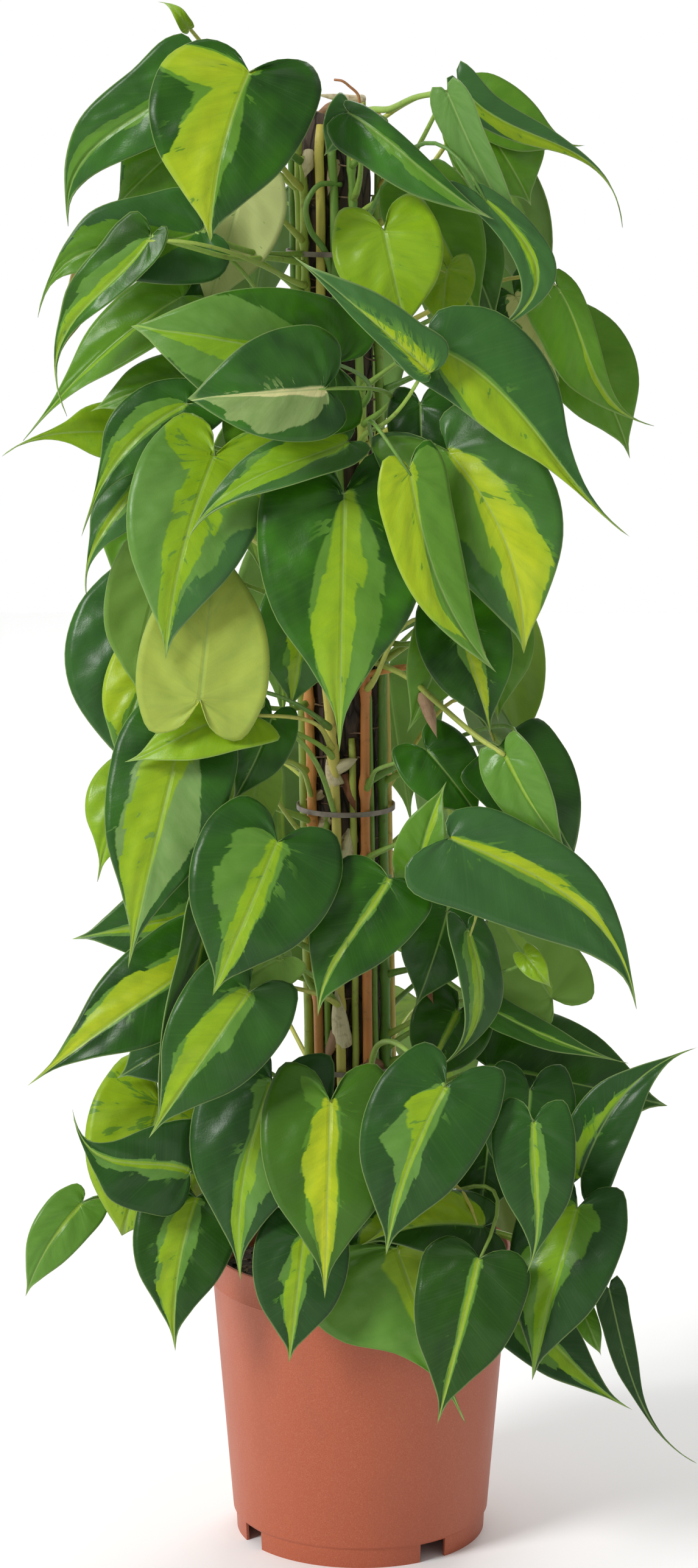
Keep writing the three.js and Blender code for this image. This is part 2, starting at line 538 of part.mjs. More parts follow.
// The point of a blade at x mm across and at y of its length, raised mm off its middle face
function bladePoint(leaf, frame, x, y, raised) {
  const angle = radians(leaf.roll ?? 0);
  const side = frame.side.clone().multiplyScalar(Math.cos(angle)).addScaledVector(frame.normal, -Math.sin(angle));
  const normal = frame.normal.clone().multiplyScalar(Math.cos(angle)).addScaledVector(frame.side, Math.sin(angle));
  const bow = 4 * y * (1 - y);
  const late = 6.75 * y * y * (1 - y);
  const fold = leaf.fold ?? 0.12;
  const flat = (x * (1 + (leaf.lop ?? 0) * Math.sign(x))) / Math.hypot(1, fold);
  const lift = fold * Math.abs(flat) - ((leaf.curl ?? 0.12) * flat * flat) / (leaf.wide / 2);
  return frame.base
    .clone()
    .addScaledVector(frame.along, y)
    .addScaledVector(normal, (leaf.arch ?? 7) * bow + lift + raised)
    .addScaledVector(side, flat + (leaf.bend ?? 0) * bow + (leaf.hook ?? 0) * late);
}

// The blade's outline on one side, from beside the notch to the last point before the tip
function outlineOf(leaf, frame) {
  const tail = leaf.tail ?? 0.16;
  const back = ((leaf.lobe ?? 1) * leaf.wide) / frame.along.length();
  return [
    ...(leaf.plain ? PLAIN_LOBE_OUTLINE : LOBE_OUTLINE).map(([w, y]) => [w * leaf.wide, -y * back]),
    ...BODY_OUTLINE.map(([w, y]) => [w * leaf.wide, y * (1 - tail)]),
    [DRIP_WIDTH * leaf.wide, 1 - tail * (1 - DRIP_STOP)],
  ];
}

const ribStops = (leaf) => (leaf.plain ? PLAIN_MIDRIB_STOPS : MIDRIB_STOPS);

// The blade's faces as triangles of [x, y] pairs, the same on both sides
function bladeTriangles(leaf, frame) {
  const edge = outlineOf(leaf, frame);
  const rib = ribStops(leaf).map((y) => [0, y]);
  const reach = leaf.plain ? PLAIN_MIDRIB_REACH : MIDRIB_REACH;
  const tip = [0, 1];
  const half = [];
  for (let i = 1; i < edge.length; i++) {
    half.push([rib[reach[i - 1]], edge[i - 1], edge[i]]);
    if (reach[i] > reach[i - 1]) half.push([rib[reach[i - 1]], edge[i], rib[reach[i]]]);
  }
  half.push([rib[reach[edge.length - 1]], edge[edge.length - 1], tip]);
  return { half, rim: [rib[0], ...edge, tip] };
}

const mirrored = ([x, y]) => [-x, y];

function bladeSolid(leaf, frame) {
  const { half, rim } = bladeTriangles(leaf, frame);
  const up = ([x, y]) => bladePoint(leaf, frame, x, y, BLADE_THICK / 2);
  const down = ([x, y]) => bladePoint(leaf, frame, x, y, -BLADE_THICK / 2);
  const triangles = [];
  for (const [a, b, c] of half) {
    triangles.push([up(a), up(c), up(b)], [down(a), down(b), down(c)]);
    const [ma, mb, mc] = [mirrored(a), mirrored(b), mirrored(c)];
    triangles.push([up(ma), up(mb), up(mc)], [down(ma), down(mc), down(mb)]);
  }
  for (let i = 1; i < rim.length; i++) {
    const [a, b] = [rim[i - 1], rim[i]];
    triangles.push([up(a), up(b), down(b)], [up(a), down(b), down(a)]);
    const [ma, mb] = [mirrored(a), mirrored(b)];
    triangles.push([up(ma), down(mb), up(mb)], [up(ma), down(ma), down(mb)]);
  }
  return solidOf(triangles);
}

// Points spread over a blade, for the clearance test
function bladeSamples(leaf, frame) {
  const { half } = bladeTriangles(leaf, frame);
  const samples = [];
  for (const triangle of half) {
    for (const turned of [false, true]) {
      const [a, b, c] = triangle.map((p) => bladePoint(leaf, frame, ...(turned ? mirrored(p) : p), 0));
      const steps = Math.ceil(Math.max(a.distanceTo(b), b.distanceTo(c), c.distanceTo(a)) / SAMPLE_STEP);
      for (let i = 0; i <= steps; i++) {
        for (let k = 0; k <= steps - i; k++) {
          samples.push(
            a
              .clone()
              .multiplyScalar(1 - (i + k) / steps)
              .addScaledVector(b, i / steps)
              .addScaledVector(c, k / steps),
          );
        }
      }
    }
  }
  return samples;
}

// What is already placed, as points with a radius in a grid of cells
const cells = new Map();
const cellOf = (point) => point.toArray().map((value) => Math.floor(value / CELL));
function place(owner, points, radius) {
  for (const point of points) {
    const key = cellOf(point).join();
    if (!cells.has(key)) cells.set(key, []);
    cells.get(key).push({ point, owner, radius });
  }
}

// Whether a ball about a point meets anything placed, leaving out what skip accepts
function meets(point, radius, clear, skip) {
  const [i0, j0, k0] = cellOf(point);
  for (let i = i0 - 1; i <= i0 + 1; i++) {
    for (let j = j0 - 1; j <= j0 + 1; j++) {
      for (let k = k0 - 1; k <= k0 + 1; k++) {
        for (const other of cells.get([i, j, k].join()) ?? []) {
          const limit = radius + other.radius + clear;
          if (point.distanceToSquared(other.point) < limit * limit && !skip(other)) return true;
        }
      }
    }
  }
  return false;
}

// The pole, pot and soil, kept clear by their plain shapes
function meetsBody(point, clear) {
  const centre = poleCentre(point.z);
  const fromPole = Math.hypot(point.x - centre.x, point.y);
  if (point.z < POLE_TOP + clear && fromPole < POLE_RADIUS + clear) return true;
  const fromAxis = Math.hypot(point.x, point.y);
  const wall = POT_STEP_RADIUS + ((POT_RIM_RADIUS - POT_STEP_RADIUS) * point.z) / POT_HEIGHT;
  if (point.z < POT_HEIGHT + clear && fromAxis > WALL_INSIDE && fromAxis < wall + clear + WALL_CLEAR) return true;
  return point.z < SOIL_CROWN_HEIGHT + clear && fromAxis < SOIL_REACH;
}

// The solids placed so far, for the exact clearance test
const solids = [];
function keepSolid(owner, solid) {
  solids.push({ owner, solid, box: solid.boundingBox() });
}

function touchesSolid(solid, skip) {
  const box = solid.boundingBox();
  const apart = (other) =>
    [0, 1, 2].some((i) => box.min[i] > other.box.max[i] + LEAST_GAP || box.max[i] < other.box.min[i] - LEAST_GAP);
  return solids.some(
    (other) => !skip(other) && !apart(other) && solid.minGap(other.solid, 2 * LEAST_GAP) < LEAST_GAP,
  );
}

const nothing = () => false;
const bladeFits = (samples) =>
  !samples.some((point) => meetsBody(point, BLADE_CLEAR) || meets(point, BLADE_THICK / 2, BLADE_CLEAR, nothing));

// Places a leaf at the first depth that leaves it clear: backwards first, then forwards
function settle(leaf) {
  const shifts = [0];
  for (let i = 1; i <= SHIFTS_BACK; i++) shifts.push(-SHIFT_STEP * i);
  for (let i = 1; i <= SHIFTS_FORWARD; i++) shifts.push(SHIFT_STEP * i);
  for (const shift of shifts) {
    const frame = frameOf(leaf, shift);
    const samples = bladeSamples(leaf, frame);
    if (!bladeFits(samples)) continue;
    const blade = bladeSolid(leaf, frame);
    if (touchesSolid(blade, nothing)) continue;
    place(leaf, samples, BLADE_THICK / 2);
    keepSolid(leaf, blade);
    return { leaf, frame, blade };
  }
  throw new Error("no clear place for leaf " + leaf.id);
}

// Back leaves hang outwards round the back, spread by height and by the golden share
function backLeaves() {
  const draw = seededDraw(BACK_SEED);
  const between = ([least, extra]) => least + extra * draw();
  const either = (width) => (draw() - 0.5) * width;
  return Array.from({ length: BACK_LEAVES }, (_, i) => {
    const z = BACK_HIGH - ((BACK_HIGH - BACK_LOW) * (i + 0.5)) / BACK_LEAVES;
    const angle = radians(BACK_ARC[0] + (BACK_ARC[1] - BACK_ARC[0]) * ((i * GOLDEN_SHARE) % 1));
    const away = vec(Math.sin(angle), -Math.cos(angle), 0);
    const tangent = vec(away.y, -away.x, 0);
    const radius = between([BACK_RADIUS + BACK_DEPTH * away.y * away.y, BACK_SPREAD]);
    const length = between(BACK_LENGTH);
    const swing = either(BACK_SWING);
    const from = away.clone().multiplyScalar(radius).add(vec(POLE_LEAN * z, 0, z));
    const to = from
      .clone()
      .addScaledVector(away, between(BACK_LEAN))
      .addScaledVector(tangent, swing)
      .add(vec(0, 0, -length));
    return {
      id: BACK_FIRST_ID + i,
      from,
      to,
      away,
      face: away.clone().add(vec(0, 0, BACK_FACE_UP)).normalize(),
      plain: true,
      wide: length * between(BACK_WIDTH),
      roll: either(BACK_ROLL),
      fold: between(BACK_FOLD),
      arch: between(BACK_ARCH),
      bend: either(BACK_BEND),
      tail: between(BACK_TAIL),
    };
  });
}

// A petiole's centre line from its stem to just inside its blade
function petioleLine(route, placed) {
  const { leaf, frame } = placed;
  const [notch, firstStop] = ribStops(leaf).map((y) => bladePoint(leaf, frame, 0, y, JOIN_SINK));
  const end = notch.lerp(firstStop, JOIN_ALONG / notch.distanceTo(firstStop));
  const behind = frame.normal.clone().addScaledVector(frame.along, route.slant / frame.along.length());
  const start = stemCentre(route.stem, route.z);
  const radial = start.clone().sub(poleCentre(route.z)).normalize();
  const gap = start.distanceTo(end);
  const inward = behind.normalize().negate();
  const aside = radial.clone().cross(vec(0, 0, 1));
  const first = start
    .clone()
    .addScaledVector(radial, BOW_SHARE * gap)
    .add(vec(0, 0, route.lift))
    .addScaledVector(aside, route.aside);
  const second = end
    .clone()
    .addScaledVector(inward, BOW_SHARE * gap)
    .addScaledVector(aside, route.swerve)
    .add(vec(0, 0, route.rise));
  return new THREE.CubicBezierCurve3(start, first, second, end);
}

// Points along a petiole's straight pieces
function linePoints(curve) {
  const stops = curve.getPoints(PETIOLE_PIECES);
  return stops.slice(1).flatMap((to, i) => {
    const from = stops[i];
    const count = Math.ceil(from.distanceTo(to) / LINE_STEP);
    return Array.from({ length: count }, (_, k) => from.clone().lerp(to, (k + 1) / count));
  });
}

function routeFits(curve, route, placed) {
  const start = curve.v0;
  const end = curve.v3;
  for (const point of linePoints(curve)) {
    const nearStart = point.distanceTo(start) < NEAR_STEM;
    const nearEnd = point.distanceTo(end) < NEAR_BLADE;
    if (!nearStart && meetsBody(point, BARK_CLEAR)) return false;
    const skip = (other) =>
      (nearStart && other.owner === route.stem) || (nearEnd && other.owner === placed.leaf);
    if (meets(point, PETIOLE_RADIUS, nearStart ? STEM_CLEAR : PETIOLE_CLEAR, skip)) return false;
  }
  return true;
}

// The first clear way for a petiole, with its solid
function findRoute(placed) {
  const base = placed.frame.base;
  const centre = poleCentre(base.z);
  const angleOf = (stem) => {
    const there = stemCentre(stem, Math.min(base.z, stem.top));
    const a = Math.atan2(there.x - centre.x, -there.y);
    const b = Math.atan2(base.x - centre.x, -base.y);
    return Math.abs(Math.atan2(Math.sin(a - b), Math.cos(a - b)));
  };
  const near = [...STEMS].sort((a, b) => angleOf(a) - angleOf(b)).slice(0, STEMS_TRIED);
  for (const stem of near) {
    for (const drop of START_DROPS) {
      const z = Math.min(Math.max(base.z + drop, LOWEST_START), stem.top - START_BELOW_TOP);
      for (const aside of ASIDES) {
        for (const lift of LIFTS) {
          for (const rise of RISES) {
            for (const slant of SLANTS) {
              for (const swerve of SWERVES) {
                const route = { stem, z, lift, rise, aside, slant, swerve };
                const curve = petioleLine(route, placed);
                if (!routeFits(curve, route, placed)) continue;
                const solid = petioleSolid(curve);
                const own = (other) => other.owner === stem || other.owner === placed.leaf;
                const joined = solid.add(placed.blade).decompose().length === 1;
                if (joined && !touchesSolid(solid, own)) return { route, curve, solid };
              }
            }
          }
        }
      }
    }
  }
  throw new Error("no clear way for the petiole of leaf " + placed.leaf.id);
}

function petioleSolid(curve) {
  const rings = [];
  for (let i = 0; i <= PETIOLE_PIECES; i++) {
    const share = i / PETIOLE_PIECES;
    const usual = PETIOLE_RADIUS * (PETIOLE_BASE_SWELL - PETIOLE_TAPER * share);
    const radius = i < PETIOLE_PIECES ? usual : PETIOLE_END_RADIUS;
    const heading = curve.getTangent(share);
    rings.push(ringAbout(curve.getPoint(share), heading, radius, PETIOLE_SIDES, PETIOLE_TURN));
  }
  return tubeOf(rings);
}

// Puts everything in place: stems and ties first, then blades, then petioles
for (const stem of STEMS) {
  const points = [];
  for (let z = STEM_BOTTOM; z <= stem.top; z += LINE_STEP) points.push(stemCentre(stem, z));
  place(stem, points, STEM_RADIUS);
  keepSolid(stem, tubeOf(stemRings(stem, 0)));
}
for (const z of TIE_HEIGHTS) {
  const corners = tieCorners(z, TIE_GAP + TIE_THICK / 2);
  const points = corners.flatMap((corner, i) => {
    const next = corners[(i + 1) % corners.length];
    return [0, 0.2, 0.4, 0.6, 0.8].map((share) => corner.clone().lerp(next, share));
  });
  place("tie", points, TIE_WIDTH / 2);
  keepSolid("tie", makeTie(z));
}

const secondRow = SECOND_ROW_LEAVES.map((leaf) => ({ ...leaf, plain: true }));
const placedLeaves = [...FRONT_LEAVES, ...secondRow, ...backLeaves()].map(settle);
const partsOfStem = new Map(STEMS.map((stem) => [stem, [tubeOf(stemRings(stem, 0))]]));
for (const placed of placedLeaves) {
  const found = findRoute(placed);
  place(placed.leaf, linePoints(found.curve), PETIOLE_RADIUS);
  keepSolid(placed.leaf, found.solid);
  partsOfStem.get(found.route.stem).push(found.solid, placed.blade);
}

// The scene graph: one mesh for each piece
const plant = new THREE.Group();
plant.name = "potted_brasil_philodendron";
function addPiece(name, solid, color, roughness) {
  const made = solid.getMesh();
  const positions = new Float32Array(made.numVert * 3);
  for (let i = 0; i < made.numVert; i++) {
    positions.set(made.vertProperties.subarray(i * made.numProp, i * made.numProp + 3), 3 * i);
  }
  const geometry = new THREE.BufferGeometry();
  geometry.setAttribute("position", new THREE.BufferAttribute(positions, 3));
  geometry.setIndex(new THREE.BufferAttribute(new Uint32Array(made.triVerts), 1));
  geometry.computeVertexNormals();
  const material = new THREE.MeshStandardMaterial({ color, roughness, metalness: 0, flatShading: true });
  const mesh = new THREE.Mesh(geometry, material);
  mesh.name = name;
  plant.add(mesh);
}

addPiece("pot", makePot(), 0xbe6346, 0.55);
addPiece("soil", makeSoil(), 0x2c221b, 0.95);
addPiece("pole", tubeOf(poleRings(0)), 0x4a3a30, 0.95);
TIE_HEIGHTS.forEach((z, i) => addPiece("tie_0" + (i + 1), makeTie(z), 0x8a7d76, 0.6));
for (const stem of STEMS) {
  addPiece(stem.name, wasm.Manifold.union(partsOfStem.get(stem)), 0x3e7a2e, 0.4);
}

export default plant;
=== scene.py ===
"""Looks of a brasil philodendron trained up a bark pole in a nursery pot, built over its solids."""

import itertools
import math

import bmesh
import bpy
import numpy as np
from mathutils import Matrix, Vector, noise


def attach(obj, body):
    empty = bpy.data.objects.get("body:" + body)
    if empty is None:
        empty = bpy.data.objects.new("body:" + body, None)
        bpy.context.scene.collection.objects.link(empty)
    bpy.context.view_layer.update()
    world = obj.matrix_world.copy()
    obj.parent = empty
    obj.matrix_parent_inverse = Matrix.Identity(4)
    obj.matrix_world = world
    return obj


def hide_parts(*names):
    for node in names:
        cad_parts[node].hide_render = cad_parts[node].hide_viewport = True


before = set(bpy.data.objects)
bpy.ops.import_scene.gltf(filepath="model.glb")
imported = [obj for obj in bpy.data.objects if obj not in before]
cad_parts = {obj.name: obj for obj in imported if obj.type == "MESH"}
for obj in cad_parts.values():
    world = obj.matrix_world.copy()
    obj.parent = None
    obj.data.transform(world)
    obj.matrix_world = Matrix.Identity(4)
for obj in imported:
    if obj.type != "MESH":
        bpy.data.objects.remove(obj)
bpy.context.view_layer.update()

bl_info = {
    "name": "Potted brasil philodendron",
    "version": (1, 0, 0),
    "blender": (4, 5, 0),
    "location": "3D view, sidebar, Philodendron",
    "description": "Builds a climbing philodendron with lime and green leaves in its pot",
    "category": "Object",
}

MM = 0.001

# Sizes shared with the solids, in mm
POT_RIM_RADIUS = 95
POT_HEIGHT = 186
POT_FOOT_RADIUS = 79
POT_FOOT_TOP_RADIUS = 79.6
POT_STEP_RADIUS = 81.3
POT_STEP_HEIGHT = 14
POT_WALL = 1.8
POT_FLOOR_BOTTOM = 12
POT_LIP_HEIGHT = 20
POT_LIP_RADIUS = 93.6
POT_RIDGE = 0.7
POT_LEDGE = 1.2
FOOT_GAP_ANGLES = [-59, 35, 125, 215]
FOOT_GAP_WIDTH = 19
DRAIN_RADIUS = 7
DRAIN_CIRCLE = 52
SOIL_BOTTOM = 14.35
SOIL_EDGE_HEIGHT = 170
SOIL_SHOULDER_HEIGHT = 175
SOIL_SHOULDER_RADIUS = 60
SOIL_CROWN_HEIGHT = 177
POLE_RADIUS = 21.5
POLE_BOTTOM = 40
POLE_TOP = 896
POLE_FOOT_X = -1.5
POLE_LEAN = -0.0165
STEM_RADIUS = 3.3
STEM_REACH = 26
STEM_BOTTOM = 70
STEM_TAPER = 0.3
TIE_HEIGHTS = [812, 655, 470, 400, 305]
TIE_WIDTH = 3.2
TIE_THICK = 1
TIE_GAP = 0.4
BLADE_THICK = 0.9
PETIOLE_RADIUS = 1.7
PETIOLE_BASE_SWELL = 1.1
PETIOLE_TAPER = 0.35
PETIOLE_TURN = 0.5
MIDRIB_FIRST = 0.3
PLAIN_MIDRIB_FIRST = 0.4
LOBE_OUTLINE = [(0.13, 0.22), (0.33, 0.27), (0.47, 0.04)]
BODY_OUTLINE = [(0.5, 0.28), (0.4, 0.6), (0.17, 0.89)]
DRIP_WIDTH = 0.035
DRIP_STOP = 0.35
RIB_SHARES = [0, 0, 0, 0, 0.03, 0.3, 0.58, 0.84, 1]

# Stems: the angle about the pole in degrees at heights in mm, the top, and the bark's colour
# place at foot and top, from 0 for green through 0.5 for yellow to 1 for orange brown
STEMS = {
    "vine_01": dict(turn=[(100, -10), (500, -14), (640, -44), (900, -48)], top=872, hues=(0.5, 0.3)),
    "vine_02": dict(turn=[(100, 22), (500, 28), (640, 36), (900, 20)], top=880, hues=(1.0, 0.1)),
    "vine_03": dict(turn=[(100, 58), (500, 62), (640, 78), (900, 62)], top=850, hues=(0.05, 0.2)),
    "vine_04": dict(turn=[(100, 92), (500, 98), (640, 110), (900, 100)], top=868, hues=(0.65, 0.15)),
    "vine_05": dict(turn=[(100, 124), (900, 134)], top=840, hues=(0.8, 0.2)),
    "vine_06": dict(turn=[(100, 155), (900, 164)], top=862, hues=(0.1, 0.1)),
    "vine_07": dict(turn=[(100, 186), (900, 192)], top=830, hues=(0.6, 0.2)),
    "vine_08": dict(turn=[(100, 217), (900, 220)], top=866, hues=(0.3, 0.0)),
    "vine_09": dict(turn=[(100, 249), (900, 248)], top=846, hues=(0.9, 0.4)),
    "vine_10": dict(turn=[(100, 286), (500, 278), (900, 275)], top=876, hues=(0.3, 0.05)),
    "vine_11": dict(turn=[(100, 320), (500, 306), (640, 297), (900, 303)], top=884, hues=(0.95, 0.3)),
}

# How the front was measured: pixels seen from this eye point, 1146 wide and 2576 high
PHOTO_HEIGHT = 2576
EYE = np.array([-7.3, -2500, 980])
LOOKED_AT = np.array([-7.3, 0, 483.6])
FOCAL_PX = 6749
CENTRE_PX = (573, 1288)

# Depths and ways that a leaf and its petiole may take, as in the solids
SHIFT_STEP = 4
SHIFTS_BACK = 16
SHIFTS_FORWARD = 8
START_DROPS = [-35, -55, -20, -75, -5, -95, 12, -115, 30]
ASIDES = [0, 14, -14, 28, -28, 44, -44]
LIFTS = [18, 34, 4, -10, 60]
RISES = [0, 16, -14, 30, -28, 48, 66]
SLANTS = [0.4, 1.1, 0, 2.5]
SWERVES = [0, 26, -26, 45, -45]
LOWEST_START = 189
START_BELOW_TOP = 6
BOW_SHARE = 0.3
JOIN_ALONG = 4
JOIN_SINK = 0.1

# Ways that a blade is coloured. lime and green hold the left and right edges of the lime zone
# and of the paler green zone round it, as shares of the half width at even stops from the
# notch to the tip. grey turns the green zone grey, yellow turns the lime to yellow at 1,
# to cream at 2 and to withered brown at 3, and fleck scatters streaks of the other colours.
ALL_OVER = [(-1.4, 1.4)] * 2
NOWHERE = [(0, 0)] * 2
GREEN_MARGIN = 0.05


def look(lime, green=None, grey=0.5, yellow=0.3, fleck=0.1, tone=None):
    """One colouring; without a green zone of its own it has a narrow one round the lime"""
    green = green or [(left - GREEN_MARGIN, right + GREEN_MARGIN) for left, right in lime]
    return dict(lime=lime, green=green, grey=grey, yellow=yellow, fleck=fleck, tone=tone)


